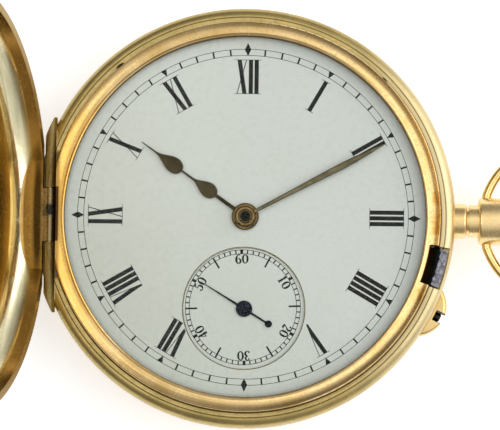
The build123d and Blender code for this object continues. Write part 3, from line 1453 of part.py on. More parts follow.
# Balance cock with the boss that the regulator turns on
with BuildPart() as balance_cock:
    with BuildSketch(Plane.XY.offset(cock_bottom)):
        cock_outline(0)
    extrude(amount=cock_top - cock_bottom)
    disc(balance_center, cock_boss_radius, cock_boss_bottom, cock_bottom)
    disc(cock_foot, cock_foot_radius, cock_bottom, plate_bottom - fit_gap)
    disc(balance_center, jewel_radius + jewel_fit, cock_boss_bottom, cock_top, mode=Mode.SUBTRACT)
    disc(cock_foot, screw_shank_radius + fit_gap, cock_bottom, plate_bottom, mode=Mode.SUBTRACT)
    disc(cock_foot, screw_head_radius + fit_gap, cock_bottom, cock_bottom + screw_head_height,
         mode=Mode.SUBTRACT)
balance_cock.part.label = "balance_cock"
export_step(balance_cock.part, "parts/balance_cock.step")

# Regulator: a ring on the boss with a long pointer and a short tail
cock_heading = heading(balance_center, cock_foot)
with BuildPart() as regulator:
    with BuildSketch(Plane.XY.offset(regulator_bottom)):
        blob(balance_center, regulator_outer_radius,
             polar(regulator_reach, cock_heading, balance_center), regulator_tip_radius)
        blob(balance_center, regulator_outer_radius / 2,
             polar(regulator_tail, cock_heading + 180, balance_center), regulator_outer_radius / 4)
        with Locations(balance_center):
            Circle(regulator_outer_radius)
            Circle(cock_boss_radius + running_gap, mode=Mode.SUBTRACT)
    extrude(amount=regulator_thickness)
regulator.part.label = "regulator"
export_step(regulator.part, "parts/regulator.step")

# Screws of the bridges and the cock
with BuildPart() as bridge_screws:
    for spot in barrel_pillars + train_pillars:
        slotted_screw(spot, bridge_bottom + running_gap - screw_slot_depth / 2,
                      bridge_bottom + screw_head_height - fit_gap,
                      screw_head_radius, screw_shank_radius, plate_top - running_gap)
    slotted_screw(cock_foot, cock_bottom + running_gap - screw_slot_depth / 2,
                  cock_bottom + screw_head_height - fit_gap,
                  screw_head_radius, screw_shank_radius, plate_top - running_gap)
    for spot in pallet_feet:
        disc(spot, spring_screw_radius, pallet_bridge_bottom + fit_gap, plate_top - running_gap)
bridge_screws.part.label = "bridge_screws"
export_step(bridge_screws.part, "parts/bridge_screws.step")

# Jewels: rings with the pivots' holes
with BuildPart() as train_jewels:
    bridge_jewel_bottom = bridge_top - jewel_height - jewel_setback
    plate_jewel_bottom = plate_bottom + jewel_setback
    jewel_places = [(spot, bridge_jewel_bottom) for spot in (third_center, fourth_center, escape_center)]
    jewel_places += [(spot, plate_jewel_bottom) for spot in plate_jewel_centers if spot != fourth_center]
    for spot, bottom in jewel_places:
        disc(spot, jewel_radius, bottom, bottom + jewel_height)
        disc(spot, pivot_radius + pivot_gap, bottom, bottom + jewel_height, mode=Mode.SUBTRACT)
    disc(fourth_center, jewel_radius, plate_jewel_bottom, plate_jewel_bottom + jewel_height)
    disc(fourth_center, seconds_arbor_radius + pivot_gap, plate_jewel_bottom,
         plate_jewel_bottom + jewel_height, mode=Mode.SUBTRACT)
    disc(center, jewel_radius, bridge_jewel_bottom, bridge_jewel_bottom + jewel_height)
    disc(center, pivot_radius + pivot_gap, bridge_jewel_bottom, bridge_jewel_bottom + jewel_height,
         mode=Mode.SUBTRACT)
    disc(pallet_center, jewel_radius, pallet_bridge_bottom + fit_gap, pallet_bridge_top - fit_gap)
    disc(pallet_center, pivot_radius + pivot_gap, pallet_bridge_bottom, pallet_bridge_top,
         mode=Mode.SUBTRACT)
    disc(balance_center, jewel_radius, cock_top - jewel_height - jewel_setback, cock_top - jewel_setback)
    disc(balance_center, pivot_radius + pivot_gap, cock_bottom, cock_top, mode=Mode.SUBTRACT)
train_jewels.part.label = "train_jewels"
export_step(train_jewels.part, "parts/train_jewels.step")

# Barrel: drum with its teeth, lid, mainspring and arbor
with BuildPart() as barrel_drum:
    gear(barrel_center, barrel_teeth, barrel_module, wheel_tooth_shares, barrel_phase,
         barrel_teeth_bottom, barrel_teeth_top - barrel_teeth_bottom)
    disc(barrel_center, drum_radius, barrel_bottom, barrel_top)
    disc(barrel_center, drum_radius - drum_wall, barrel_bottom + drum_floor, barrel_top,
         mode=Mode.SUBTRACT)
    disc(barrel_center, barrel_journal_radius + running_gap, barrel_bottom, barrel_top,
         mode=Mode.SUBTRACT)
barrel_drum.part.label = "barrel_drum"
export_step(barrel_drum.part, "parts/barrel_drum.step")

lid_top = barrel_top - lid_drop
with BuildPart() as barrel_lid:
    disc(barrel_center, drum_radius - drum_wall - fit_gap, lid_top - lid_thickness, lid_top)
    disc(barrel_center, barrel_journal_radius + running_gap, lid_top - lid_thickness, lid_top,
         mode=Mode.SUBTRACT)
barrel_lid.part.label = "barrel_lid"
export_step(barrel_lid.part, "parts/barrel_lid.step")

spring_room_bottom = barrel_bottom + drum_floor + running_gap
spring_room_top = lid_top - lid_thickness - running_gap
with BuildPart() as mainspring:
    spiral(barrel_center, mainspring_inner_radius, mainspring_pitch, mainspring_half_turns,
           mainspring_thickness, spring_room_bottom, spring_room_top - spring_room_bottom)
mainspring.part.label = "mainspring"
export_step(mainspring.part, "parts/mainspring.step")

with BuildPart() as barrel_arbor:
    disc(barrel_center, barrel_core_radius, spring_room_bottom, spring_room_top)
    disc(barrel_center, barrel_journal_radius, bridge_bottom + winding_recess, plate_bottom - running_gap)
    disc(barrel_center, barrel_pivot_radius, plate_bottom - running_gap, plate_top - running_gap)
    with BuildSketch(Plane.XY.offset(winding_wheel_z)):
        with Locations(barrel_center):
            Rectangle(arbor_square, arbor_square)
    extrude(amount=bridge_bottom + winding_recess - winding_wheel_z)
    disc(barrel_center, spring_screw_radius + fit_gap, winding_wheel_z, bridge_top, mode=Mode.SUBTRACT)
barrel_arbor.part.label = "barrel_arbor"
export_step(barrel_arbor.part, "parts/barrel_arbor.step")

# Ratchet wheel on the arbor's square, and its screw
with BuildPart() as ratchet_wheel:
    gear(barrel_center, ratchet_teeth, winding_module, wheel_tooth_shares, ratchet_phase,
         winding_wheel_z, winding_wheel_thickness)
    with BuildSketch(Plane.XY.offset(winding_wheel_z)):
        with Locations(barrel_center):
            Rectangle(arbor_square + 2 * fit_gap, arbor_square + 2 * fit_gap)
    extrude(amount=winding_wheel_thickness, mode=Mode.SUBTRACT)
ratchet_wheel.part.label = "ratchet_wheel"
export_step(ratchet_wheel.part, "parts/ratchet_wheel.step")

with BuildPart() as ratchet_screw:
    slotted_screw(barrel_center, winding_wheel_z - fit_gap - flat_screw_head, winding_wheel_z - fit_gap,
                  ratchet_screw_radius, spring_screw_radius, bridge_top - running_gap)
ratchet_screw.part.label = "ratchet_screw"
export_step(ratchet_screw.part, "parts/ratchet_screw.step")

# Crown wheel on the bridge's core, and its screw
with BuildPart() as crown_wheel:
    gear(crown_wheel_center, crown_teeth, winding_module, pinion_tooth_shares, crown_wheel_phase,
         winding_wheel_z, winding_wheel_thickness)
    disc(crown_wheel_center, crown_core_radius + running_gap, winding_wheel_z,
         winding_wheel_z + winding_wheel_thickness, mode=Mode.SUBTRACT)
crown_wheel.part.label = "crown_wheel"
export_step(crown_wheel.part, "parts/crown_wheel.step")

with BuildPart() as crown_wheel_screw:
    slotted_screw(crown_wheel_center, winding_wheel_z - running_gap - flat_screw_head,
                  winding_wheel_z - running_gap, crown_screw_radius, spring_screw_radius,
                  bridge_top - running_gap)
crown_wheel_screw.part.label = "crown_wheel_screw"
export_step(crown_wheel_screw.part, "parts/crown_wheel_screw.step")

# Click and its spring
click_bottom = winding_wheel_z + running_gap
with BuildPart() as click:
    with BuildSketch(Plane.XY.offset(click_bottom)):
        blob(click_pivot, click_radius, click_beak, click_beak_radius)
        with Locations(click_pivot):
            Circle(screw_shank_radius + running_gap, mode=Mode.SUBTRACT)
    extrude(amount=winding_wheel_thickness - 2 * running_gap)
click.part.label = "click"
export_step(click.part, "parts/click.step")

with BuildPart() as click_spring:
    with BuildSketch(Plane.XY.offset(click_bottom)):
        ring_sector(click_spring_radius, click_spring_radius + click_spring_thickness,
                    click_spring_start, click_spring_end, barrel_center)
        with Locations(polar(click_spring_radius, click_spring_end, barrel_center)):
            Circle(click_spring_boss)
    extrude(amount=winding_wheel_thickness - 2 * running_gap)
click_spring.part.label = "click_spring"
export_step(click_spring.part, "parts/click_spring.step")

# Centre wheel, its pinion and its long arbor
with BuildPart() as center_wheel:
    gear(center, center_teeth, center_module, wheel_tooth_shares, center_phase,
         center_wheel_z, center_wheel_thickness)
    spokes(center, center_teeth * center_module / 2 - center_module - wheel_rim, wheel_hub_radius, 5,
           wheel_arm, 0, center_wheel_z, center_wheel_thickness)
    gear(center, center_pinion_teeth, barrel_module, pinion_tooth_shares, center_pinion_phase,
         center_pinion_bottom, plate_bottom - running_gap - center_pinion_bottom)
    disc(center, center_arbor_radius, bridge_top + running_gap, center_arbor_top)
    disc(center, pivot_radius, bridge_top - pivot_length, bridge_top + running_gap)
center_wheel.part.label = "center_wheel"
export_step(center_wheel.part, "parts/center_wheel.step")

# Cannon pinion on the centre arbor
with BuildPart() as cannon_pinion:
    gear(center, cannon_teeth, cannon_module, pinion_tooth_shares, cannon_phase,
         cannon_bottom, cannon_top - cannon_bottom)
    disc(center, cannon_tube_radius, cannon_bottom, cannon_tube_top)
    disc(center, center_arbor_radius + fit_gap, cannon_bottom, cannon_tube_top, mode=Mode.SUBTRACT)
cannon_pinion.part.label = "cannon_pinion"
export_step(cannon_pinion.part, "parts/cannon_pinion.step")

# Hour wheel with its pipe
with BuildPart() as hour_wheel:
    gear(center, hour_teeth, hour_module, wheel_tooth_shares, hour_phase,
         hour_wheel_z, hour_wheel_thickness)
    disc(center, hour_pipe_radius, hour_wheel_z, hour_pipe_top)
    disc(center, cannon_tube_radius + running_gap, hour_wheel_z, hour_pipe_top, mode=Mode.SUBTRACT)
hour_wheel.part.label = "hour_wheel"
export_step(hour_wheel.part, "parts/hour_wheel.step")

# Minute wheel with its pinion, on a post of the plate
with BuildPart() as minute_wheel:
    gear(minute_center, minute_teeth, cannon_module, wheel_tooth_shares, minute_phase,
         minute_wheel_z, minute_wheel_thickness)
    gear(minute_center, minute_pinion_teeth, hour_module, pinion_tooth_shares, minute_pinion_phase,
         minute_wheel_z, minute_pinion_top - minute_wheel_z)
    disc(minute_center, setting_post_radius + running_gap, minute_wheel_z, minute_pinion_top,
         mode=Mode.SUBTRACT)
minute_wheel.part.label = "minute_wheel"
export_step(minute_wheel.part, "parts/minute_wheel.step")

# Setting wheel
with BuildPart() as setting_wheel:
    gear(setting_center, setting_teeth, cannon_module, pinion_tooth_shares, setting_phase,
         minute_wheel_z, minute_wheel_thickness)
    disc(setting_center, setting_post_radius + running_gap, minute_wheel_z,
         minute_wheel_z + minute_wheel_thickness, mode=Mode.SUBTRACT)
setting_wheel.part.label = "setting_wheel"
export_step(setting_wheel.part, "parts/setting_wheel.step")


def train_arbor(spot, radius, bottom, top):
    """An arbor of the current part with a fine pivot at each end."""
    disc(spot, radius, bottom, top)
    disc(spot, pivot_radius, bottom - pivot_length, bottom)
    disc(spot, pivot_radius, top, top + pivot_length)


train_bottom = bridge_top + running_gap
train_top = plate_bottom - running_gap

# Third wheel
with BuildPart() as third_wheel:
    gear(third_center, third_teeth, third_module, wheel_tooth_shares, third_phase,
         third_wheel_z, third_wheel_thickness)
    spokes(third_center, third_teeth * third_module / 2 - third_module - wheel_rim, wheel_hub_radius, 5,
           wheel_arm, 0, third_wheel_z, third_wheel_thickness)
    gear(third_center, third_pinion_teeth, center_module, pinion_tooth_shares, third_pinion_phase,
         third_pinion_bottom, third_wheel_z - third_pinion_bottom)
    train_arbor(third_center, arbor_radius, train_bottom, train_top)
third_wheel.part.label = "third_wheel"
export_step(third_wheel.part, "parts/third_wheel.step")

# Fourth wheel, whose arbor carries the seconds hand
with BuildPart() as fourth_wheel:
    gear(fourth_center, fourth_teeth, fourth_module, wheel_tooth_shares, fourth_phase,
         fourth_wheel_z, fourth_wheel_thickness)
    spokes(fourth_center, fourth_teeth * fourth_module / 2 - fourth_module - wheel_rim, wheel_hub_radius,
           5, wheel_arm, 0, fourth_wheel_z, fourth_wheel_thickness)
    gear(fourth_center, fourth_pinion_teeth, third_module, pinion_tooth_shares, fourth_pinion_phase,
         fourth_pinion_bottom, fourth_pinion_top - fourth_pinion_bottom)
    disc(fourth_center, arbor_radius, train_bottom, train_top)
    disc(fourth_center, pivot_radius, train_bottom - pivot_length, train_bottom)
    disc(fourth_center, seconds_arbor_radius, train_top, seconds_hand_z)
fourth_wheel.part.label = "fourth_wheel"
export_step(fourth_wheel.part, "parts/fourth_wheel.step")

# Escape wheel with fifteen leaning teeth
with BuildPart() as escape_wheel:
    with BuildSketch(Plane.XY.offset(escape_wheel_z)):
        with BuildLine():
            for tooth in range(escape_teeth):
                angle = escape_to_balance + tooth * 360 / escape_teeth
                Polyline(
                    polar(escape_root_radius, angle - escape_tooth_base, escape_center),
                    polar(escape_tip_radius, angle + escape_tooth_lean / 3, escape_center),
                    polar(escape_tip_radius - running_gap, angle + escape_tooth_lean / 2, escape_center),
                    polar(escape_root_radius, angle + escape_tooth_lean / 4, escape_center),
                    polar(escape_root_radius, angle + 360 / escape_teeth - escape_tooth_base,
                          escape_center),
                )
        make_face()
    extrude(amount=escape_wheel_thickness)
    spokes(escape_center, escape_rim_radius, escape_hub_radius, 4, wheel_arm, 0,
           escape_wheel_z, escape_wheel_thickness)
    gear(escape_center, escape_pinion_teeth, fourth_module, pinion_tooth_shares, escape_pinion_phase,
         escape_pinion_bottom, escape_pinion_top - escape_pinion_bottom)
    train_arbor(escape_center, escape_arbor_radius, train_bottom, train_top)
escape_wheel.part.label = "escape_wheel"
export_step(escape_wheel.part, "parts/escape_wheel.step")

# Pallet fork: arms to the stones on one side, the long lever with its fork on the other
stone_radius = escape_tip_radius + pallet_stone_gap + pallet_stone_length / 2
stone_places = [polar(stone_radius, side * 30, (-pallet_distance, 0)) for side in (-1, 1)]
pad_places = [
    polar(stone_radius + pallet_pad_setback, side * 30, (-pallet_distance, 0)) for side in (-1, 1)
]
with BuildPart() as pallet_fork:
    with BuildSketch(turned_plane(pallet_bottom, escape_to_balance, pallet_center)):
        Circle(pallet_boss_radius)
        for side, place in zip((-1, 1), pad_places):
            with Locations((place[0] / 2, place[1] / 2)):
                Rectangle(hypot(*place), pallet_arm_width, rotation=heading((0, 0), place))
            with Locations(place):
                Rectangle(pallet_pad_length, pallet_pad_width, rotation=side * 30)
        lever_end = pallet_to_balance - roller_reach
        with Locations((lever_end / 2, 0)):
            Rectangle(lever_end, lever_width)
        with Locations((lever_end - fork_length / 2, 0)):
            Rectangle(fork_length, fork_width)
        with Locations((lever_end - fork_notch_depth / 2, 0)):
            Rectangle(fork_notch_depth, fork_notch_width, mode=Mode.SUBTRACT)
        for side, place in zip((-1, 1), stone_places):
            with Locations(place):
                Rectangle(pallet_stone_length + 2 * jewel_fit, pallet_stone_width + 2 * jewel_fit,
                          rotation=side * 30, mode=Mode.SUBTRACT)
    extrude(amount=pallet_thickness)
    disc(pallet_center, escape_arbor_radius, pallet_bridge_top + running_gap, train_top)
    disc(pallet_center, pivot_radius, pallet_bridge_bottom + running_gap,
         pallet_bridge_top + running_gap)
    disc(pallet_center, pivot_radius, train_top, train_top + pivot_length)
pallet_fork.part.label = "pallet_fork"
export_step(pallet_fork.part, "parts/pallet_fork.step")

with BuildPart() as pallet_stones:
    with BuildSketch(turned_plane(pallet_bottom, escape_to_balance, pallet_center)):
        for side, place in zip((-1, 1), stone_places):
            with Locations(place):
                Rectangle(pallet_stone_length, pallet_stone_width, rotation=side * 30)
    extrude(amount=pallet_thickness)
pallet_stones.part.label = "pallet_stones"
export_step(pallet_stones.part, "parts/pallet_stones.step")

# Balance wheel: cut rim, two arms and the timing screws
with BuildPart() as balance_wheel:
    with BuildSketch(Plane.XY.offset(balance_rim_bottom)):
        with Locations(balance_center):
            Circle(balance_rim_outer)
            Circle(balance_rim_inner, mode=Mode.SUBTRACT)
    extrude(amount=balance_rim_top - balance_rim_bottom)
    with BuildSketch(turned_plane(balance_arm_bottom, escape_to_balance, balance_center)):
        Rectangle(2 * balance_rim_inner + balance_cut_width, balance_arm_width)
        Circle(balance_hub_radius)
    extrude(amount=balance_arm_top - balance_arm_bottom)
    with BuildSketch(turned_plane(balance_rim_bottom, escape_to_balance, balance_center)):
        with PolarLocations((balance_rim_outer + balance_rim_inner) / 2, 2, start_angle=12):
            Rectangle(balance_rim_outer - balance_rim_inner + overrun, balance_cut_width)
    extrude(amount=balance_rim_top - balance_rim_bottom, mode=Mode.SUBTRACT)
    rim_middle = (balance_rim_bottom + balance_rim_top) / 2
    for side in range(2):
        for screw in range(balance_screws_per_side):
            way = radians(escape_to_balance + side * 180 + 30 + screw * 130 / balance_screws_per_side)
            spot = (
                balance_center[0] + balance_rim_inner * cos(way),
                balance_center[1] + balance_rim_inner * sin(way),
                rim_middle,
            )
            with BuildSketch(Plane(origin=spot, z_dir=(cos(way), sin(way), 0))):
                Circle(balance_screw_radius - fit_gap)
            extrude(amount=balance_screw_reach - balance_rim_inner)
    disc(balance_center, staff_radius + fit_gap, balance_arm_bottom, balance_arm_top, mode=Mode.SUBTRACT)
balance_wheel.part.label = "balance_wheel"
export_step(balance_wheel.part, "parts/balance_wheel.step")

# Balance staff with its roller and impulse pin
with BuildPart() as balance_staff:
    disc(balance_center, staff_radius, cock_top + running_gap, train_top)
    disc(balance_center, pivot_radius, cock_top - pivot_length, cock_top + running_gap)
    disc(balance_center, pivot_radius, train_top, train_top + pivot_length)
    disc(balance_center, roller_radius, roller_bottom, roller_top)
    disc(polar(impulse_radius, escape_to_balance + 180, balance_center), impulse_pin_radius,
         roller_top, impulse_pin_top)
    disc(balance_center, collet_radius, hairspring_bottom, hairspring_bottom + hairspring_height)
balance_staff.part.label = "balance_staff"
export_step(balance_staff.part, "parts/balance_staff.step")

# Hairspring between the cock and the balance
with BuildPart() as hairspring:
    spiral(balance_center, hairspring_inner_radius, hairspring_pitch, hairspring_half_turns,
           hairspring_thickness, hairspring_bottom, hairspring_height)
hairspring.part.label = "hairspring"
export_step(hairspring.part, "parts/hairspring.step")

# Dial with its feet, and the sunk seconds dial
with BuildPart() as dial:
    disc(center, dial_radius, dial_bottom, dial_top)
    disc(center, dial_hole_radius, dial_bottom, dial_top, mode=Mode.SUBTRACT)
    disc(fourth_center, sink_radius, dial_bottom, dial_top, mode=Mode.SUBTRACT)
    with BuildSketch(Plane.XY.offset(dial_bottom - dial_foot_length + running_gap)):
        with PolarLocations(dial_foot_circle, 3, start_angle=90):
            Circle(dial_foot_radius)
    extrude(amount=dial_foot_length - running_gap)
dial.part.label = "dial"
export_step(dial.part, "parts/dial.step")

with BuildPart() as seconds_dial:
    disc(fourth_center, sink_radius - running_gap, seconds_dial_top - seconds_dial_thickness,
         seconds_dial_top)
    disc(fourth_center, seconds_arbor_radius + running_gap, dial_bottom - overrun, dial_top,
         mode=Mode.SUBTRACT)
seconds_dial.part.label = "seconds_dial"
export_step(seconds_dial.part, "parts/seconds_dial.step")

# Hour hand: two pear shapes on a shaft and a needle point
with BuildPart() as hour_hand:
    with BuildSketch(turned_plane(hour_hand_z, hour_hand_angle)):
        Circle(hour_hub_radius)
        with Locations((hour_first_pear / 2, 0)):
            Rectangle(hour_first_pear, hour_shaft_width)
        blob((hour_first_pear, 0), hour_pear_radius, (hour_first_pear_end, 0), hour_pear_end_radius)
        neck_length = hour_second_pear - hour_first_pear_end
        with Locations((hour_first_pear_end + neck_length / 2, 0)):
            Rectangle(neck_length, hour_neck_width)
        blob((hour_second_pear, 0), hour_pear_radius, (hour_second_pear_end, 0), hour_pear_end_radius)
        blob((hour_second_pear_end, 0), hour_pear_end_radius,
             (hour_hand_length - hour_point_radius, 0), hour_point_radius)
        Circle(hour_pipe_radius + fit_gap, mode=Mode.SUBTRACT)
    extrude(amount=hour_hand_thickness)
hour_hand.part.label = "hour_hand"
export_step(hour_hand.part, "parts/hour_hand.step")

# Minute hand: a slender blade
with BuildPart() as minute_hand:
    with BuildSketch(turned_plane(minute_hand_z, minute_hand_angle)):
        Circle(minute_hub_radius)
        with BuildLine():
            Polyline(
                (0, -minute_root_width / 2),
                (minute_swell, -minute_swell_width / 2),
                (minute_hand_length, -minute_tip_width / 2),
                (minute_hand_length, minute_tip_width / 2),
                (minute_swell, minute_swell_width / 2),
                (0, minute_root_width / 2),
                close=True,
            )
        make_face()
        Circle(center_arbor_radius + fit_gap, mode=Mode.SUBTRACT)
    extrude(amount=minute_hand_thickness)
minute_hand.part.label = "minute_hand"
export_step(minute_hand.part, "parts/minute_hand.step")

# Seconds hand with its disc and counterweight
with BuildPart() as seconds_hand:
    with BuildSketch(turned_plane(seconds_hand_z, seconds_hand_angle, fourth_center)):
        Circle(seconds_disc_radius)
        blob((0, 0), seconds_root_width / 2, (seconds_hand_length - seconds_tip_width / 2, 0),
             seconds_tip_width / 2)
        with Locations((-seconds_tail_length / 2, 0)):
            Rectangle(seconds_tail_length, seconds_root_width)
        with Locations((-seconds_tail_length, 0)):
            Circle(seconds_tail_disc_radius)
    extrude(amount=seconds_hand_thickness)
seconds_hand.part.label = "seconds_hand"
export_step(seconds_hand.part, "parts/seconds_hand.step")
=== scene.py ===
"""Looks of the half hunter pocket watch: worn gold case, printed enamel dial, rounded hands and the movement."""
import math

import bmesh
import bpy
from mathutils import Matrix, Vector


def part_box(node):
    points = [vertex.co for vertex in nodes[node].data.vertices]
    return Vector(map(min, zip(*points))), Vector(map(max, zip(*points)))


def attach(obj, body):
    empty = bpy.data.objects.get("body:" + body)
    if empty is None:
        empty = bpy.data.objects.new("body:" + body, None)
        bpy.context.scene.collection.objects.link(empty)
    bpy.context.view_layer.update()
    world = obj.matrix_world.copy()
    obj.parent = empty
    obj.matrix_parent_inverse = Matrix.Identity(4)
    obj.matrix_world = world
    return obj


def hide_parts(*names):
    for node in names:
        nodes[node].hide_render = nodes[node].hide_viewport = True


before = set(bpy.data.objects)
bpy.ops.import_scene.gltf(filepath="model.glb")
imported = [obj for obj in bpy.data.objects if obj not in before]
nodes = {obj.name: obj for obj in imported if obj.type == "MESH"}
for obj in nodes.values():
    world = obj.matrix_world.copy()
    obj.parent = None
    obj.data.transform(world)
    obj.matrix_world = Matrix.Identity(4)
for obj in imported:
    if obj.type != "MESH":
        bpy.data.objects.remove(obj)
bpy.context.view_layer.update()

MM = 0.001

# The front cover's hinge line in x and z, in millimetres, and how far the cover stands open at rest, in degrees
HINGE, OPEN_ANGLE = (-23.15, 8.45), 107.0
SMOOTH_ANGLE = 40.0


# ---------------------------------------------------------------- mesh helpers
def polar(radius, angle, centre):
    a = math.radians(angle)
    return (centre[0] + radius * math.cos(a), centre[1] + radius * math.sin(a))


def new_piece(name, bm, look, body, stands_for=(), smooth=True):
    """A mesh in millimetres becomes a piece in metres that rides on a body."""
    bmesh.ops.recalc_face_normals(bm, faces=bm.faces)
    mesh = bpy.data.meshes.new(name)
    bm.to_mesh(mesh)
    bm.free()
    mesh.transform(Matrix.Scale(MM, 4))
    mesh.materials.append(look)
    obj = bpy.data.objects.new(name, mesh)
    bpy.context.scene.collection.objects.link(obj)
    for poly in mesh.polygons:
        poly.use_smooth = smooth
    if smooth:
        mesh.set_sharp_from_angle(angle=math.radians(SMOOTH_ANGLE))
    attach(obj, body)
    if stands_for:
        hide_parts(*stands_for)


def bridge(bm, rows):
    """Faces between neighbouring closed rows of vertices."""
    for a, b in zip(rows, rows[1:]):
        for k in range(len(a)):
            m = (k + 1) % len(a)
            bm.faces.new((a[k], a[m], b[m], b[k]))


def close_ends(bm, rows):
    bm.faces.new(rows[0])
    bm.faces.new(list(reversed(rows[-1])))


def prism(bm, outline, bottom, top):
    """A closed plate from a flat outline."""
    rows = [[bm.verts.new((x, y, z)) for x, y in outline] for z in (bottom, top)]
    bridge(bm, rows)
    close_ends(bm, rows)


def strip(bm, left, right, bottom, top, closed=False):
    """A closed plate between two rows of points."""
    rows = [[bm.verts.new(p) for p in ((lx, ly, bottom), (rx, ry, bottom), (rx, ry, top), (lx, ly, top))]
            for (lx, ly), (rx, ry) in zip(left, right)]
    if closed:
        bridge(bm, rows + rows[:1])
    else:
        bridge(bm, rows)
        close_ends(bm, rows)


def ring(bm, centre, middle, inward, outward, bottom, top, steps=180):
    """A flat ring from inward inside a middle radius to outward outside it."""
    angles = [360.0 * i / steps for i in range(steps)]
    strip(bm, [polar(middle - inward, a, centre) for a in angles], [polar(middle + outward, a, centre) for a in angles],
          bottom, top, closed=True)


def turned(bm, profile, base, steps=96):
    """A solid of revolution about the watch's axis, from (radius, height over the base) points in one closed loop."""
    rows = []
    for i in range(steps):
        a = 2 * math.pi * i / steps
        rows.append([bm.verts.new((r * math.cos(a), r * math.sin(a), base + z)) for r, z in profile])
    bridge(bm, rows + rows[:1])


def turned_cap(bm, profile, x, steps=64):
    """A solid of revolution about a vertical axis at x, whose (radius, height) profile starts and ends on that axis."""
    first, last = (bm.verts.new((x, 0.0, height)) for radius, height in (profile[0], profile[-1]))
    rows = []
    for i in range(steps):
        a = 2 * math.pi * i / steps
        rows.append([bm.verts.new((x + r * math.cos(a), r * math.sin(a), z)) for r, z in profile[1:-1]])
    for i in range(steps):
        a, b = rows[i], rows[(i + 1) % steps]
        bm.faces.new((first, b[0], a[0]))
        for k in range(len(a) - 1):
            bm.faces.new((a[k], b[k], b[k + 1], a[k + 1]))
        bm.faces.new((a[-1], b[-1], last))


def smooth_path(points, count=6):
    """A smooth open line through points of any length, by Catmull-Rom, with count steps between two of them."""
    size = range(len(points[0]))
    before = tuple(2 * points[0][k] - points[1][k] for k in size)
    after = tuple(2 * points[-1][k] - points[-2][k] for k in size)
    ends = [before, *points, after]
    line = []
    for i in range(len(points) - 1):
        p0, p1, p2, p3 = ends[i:i + 4]
        for s in range(count):
            t = s / count
            line.append(tuple(
                0.5 * (2 * p1[k] + (p2[k] - p0[k]) * t + (2 * p0[k] - 5 * p1[k] + 4 * p2[k] - p3[k]) * t * t
                       + (3 * p1[k] - p0[k] - 3 * p2[k] + p3[k]) * t ** 3) for k in size))
    line.append(tuple(points[-1]))
    return line


def stroke(bm, points, place, bottom, top):
    """A pen stroke whose points are (x, y, width)."""
    line = smooth_path(points)
    left, right = [], []
    for i, (x, y, w) in enumerate(line):
        ax, ay = line[max(0, i - 1)][:2]
        bx, by = line[min(len(line) - 1, i + 1)][:2]
        length = math.hypot(bx - ax, by - ay) or 1.0
        nx, ny = -(by - ay) / length, (bx - ax) / length
        left.append(place(x + nx * w / 2, y + ny * w / 2))
        right.append(place(x - nx * w / 2, y - ny * w / 2))
    strip(bm, left, right, bottom, top)


# ---------------------------------------------------------------- node helpers
def material(name):
    mat = bpy.data.materials.new(name)
    mat.use_nodes = True
    return mat, mat.node_tree, mat.node_tree.nodes["Principled BSDF"]


def object_mm(tree):
    """Object coordinates in millimetres."""
    coords = tree.nodes.new("ShaderNodeTexCoord")
    mapping = tree.nodes.new("ShaderNodeMapping")
    mapping.inputs["Scale"].default_value = (1000.0, 1000.0, 1000.0)
    tree.links.new(coords.outputs["Object"], mapping.inputs["Vector"])
    return mapping.outputs["Vector"]


def noise(tree, vector, scale, detail, roughness=0.55, distortion=0.0):
    node = tree.nodes.new("ShaderNodeTexNoise")
    for name, value in (("Scale", scale), ("Detail", detail), ("Roughness", roughness), ("Distortion", distortion)):
        node.inputs[name].default_value = value
    tree.links.new(vector, node.inputs["Vector"])
    return node.outputs["Fac"]


def ramp(tree, value, stops):
    node = tree.nodes.new("ShaderNodeValToRGB")
    while len(node.color_ramp.elements) < len(stops):
        node.color_ramp.elements.new(0.5)
    for element, (place, colour) in zip(node.color_ramp.elements, stops):
        element.position = place
        element.color = (*colour, 1.0)
    tree.links.new(value, node.inputs["Fac"])
    return node.outputs["Color"]


def span(tree, value, low, high, start=0.0, end=1.0):
    """Low where the value is start or less, high where it is end or more, and even in between."""
    node = tree.nodes.new("ShaderNodeMapRange")
    for name, number in (("From Min", start), ("From Max", end), ("To Min", low), ("To Max", high)):
        node.inputs[name].default_value = number
    tree.links.new(value, node.inputs["Value"])
    return node.outputs["Result"]


def maths(tree, operation, a, b=0.0):
    node = tree.nodes.new("ShaderNodeMath")
    node.operation = operation
    for i, v in enumerate((a, b)):
        if isinstance(v, (int, float)):
            node.inputs[i].default_value = v
        else:
            tree.links.new(v, node.inputs[i])
    return node.outputs[0]


def times(tree, *factors):
    product = factors[0]
    for factor in factors[1:]:
        product = maths(tree, "MULTIPLY", product, factor)
    return product


def off(tree, value, place):
    """How far a value is from a place."""
    return maths(tree, "ABSOLUTE", maths(tree, "SUBTRACT", value, place))


def vector_maths(tree, operation, a, b=None):
    node = tree.nodes.new("ShaderNodeVectorMath")
    node.operation = operation
    tree.links.new(a, node.inputs[0])
    if b:
        node.inputs[1].default_value = b
    return node.outputs["Value" if operation in ("DOT_PRODUCT", "LENGTH") else "Vector"]


def axes(tree, vector):
    split = tree.nodes.new("ShaderNodeSeparateXYZ")
    tree.links.new(vector, split.inputs["Vector"])
    return split.outputs


def joined(tree, *values):
    join = tree.nodes.new("ShaderNodeCombineXYZ")
    for value, socket in zip(values, join.inputs):
        tree.links.new(value, socket)
    return join.outputs["Vector"]


def mix_colour(tree, factor, a, b):
    node = tree.nodes.new("ShaderNodeMix")
    node.data_type = "RGBA"
    for socket, v in ((node.inputs[0], factor), (node.inputs[6], a), (node.inputs[7], b)):
        if isinstance(v, tuple):
            socket.default_value = (*v, 1.0)
        else:
            tree.links.new(v, socket)
    return node.outputs[2]


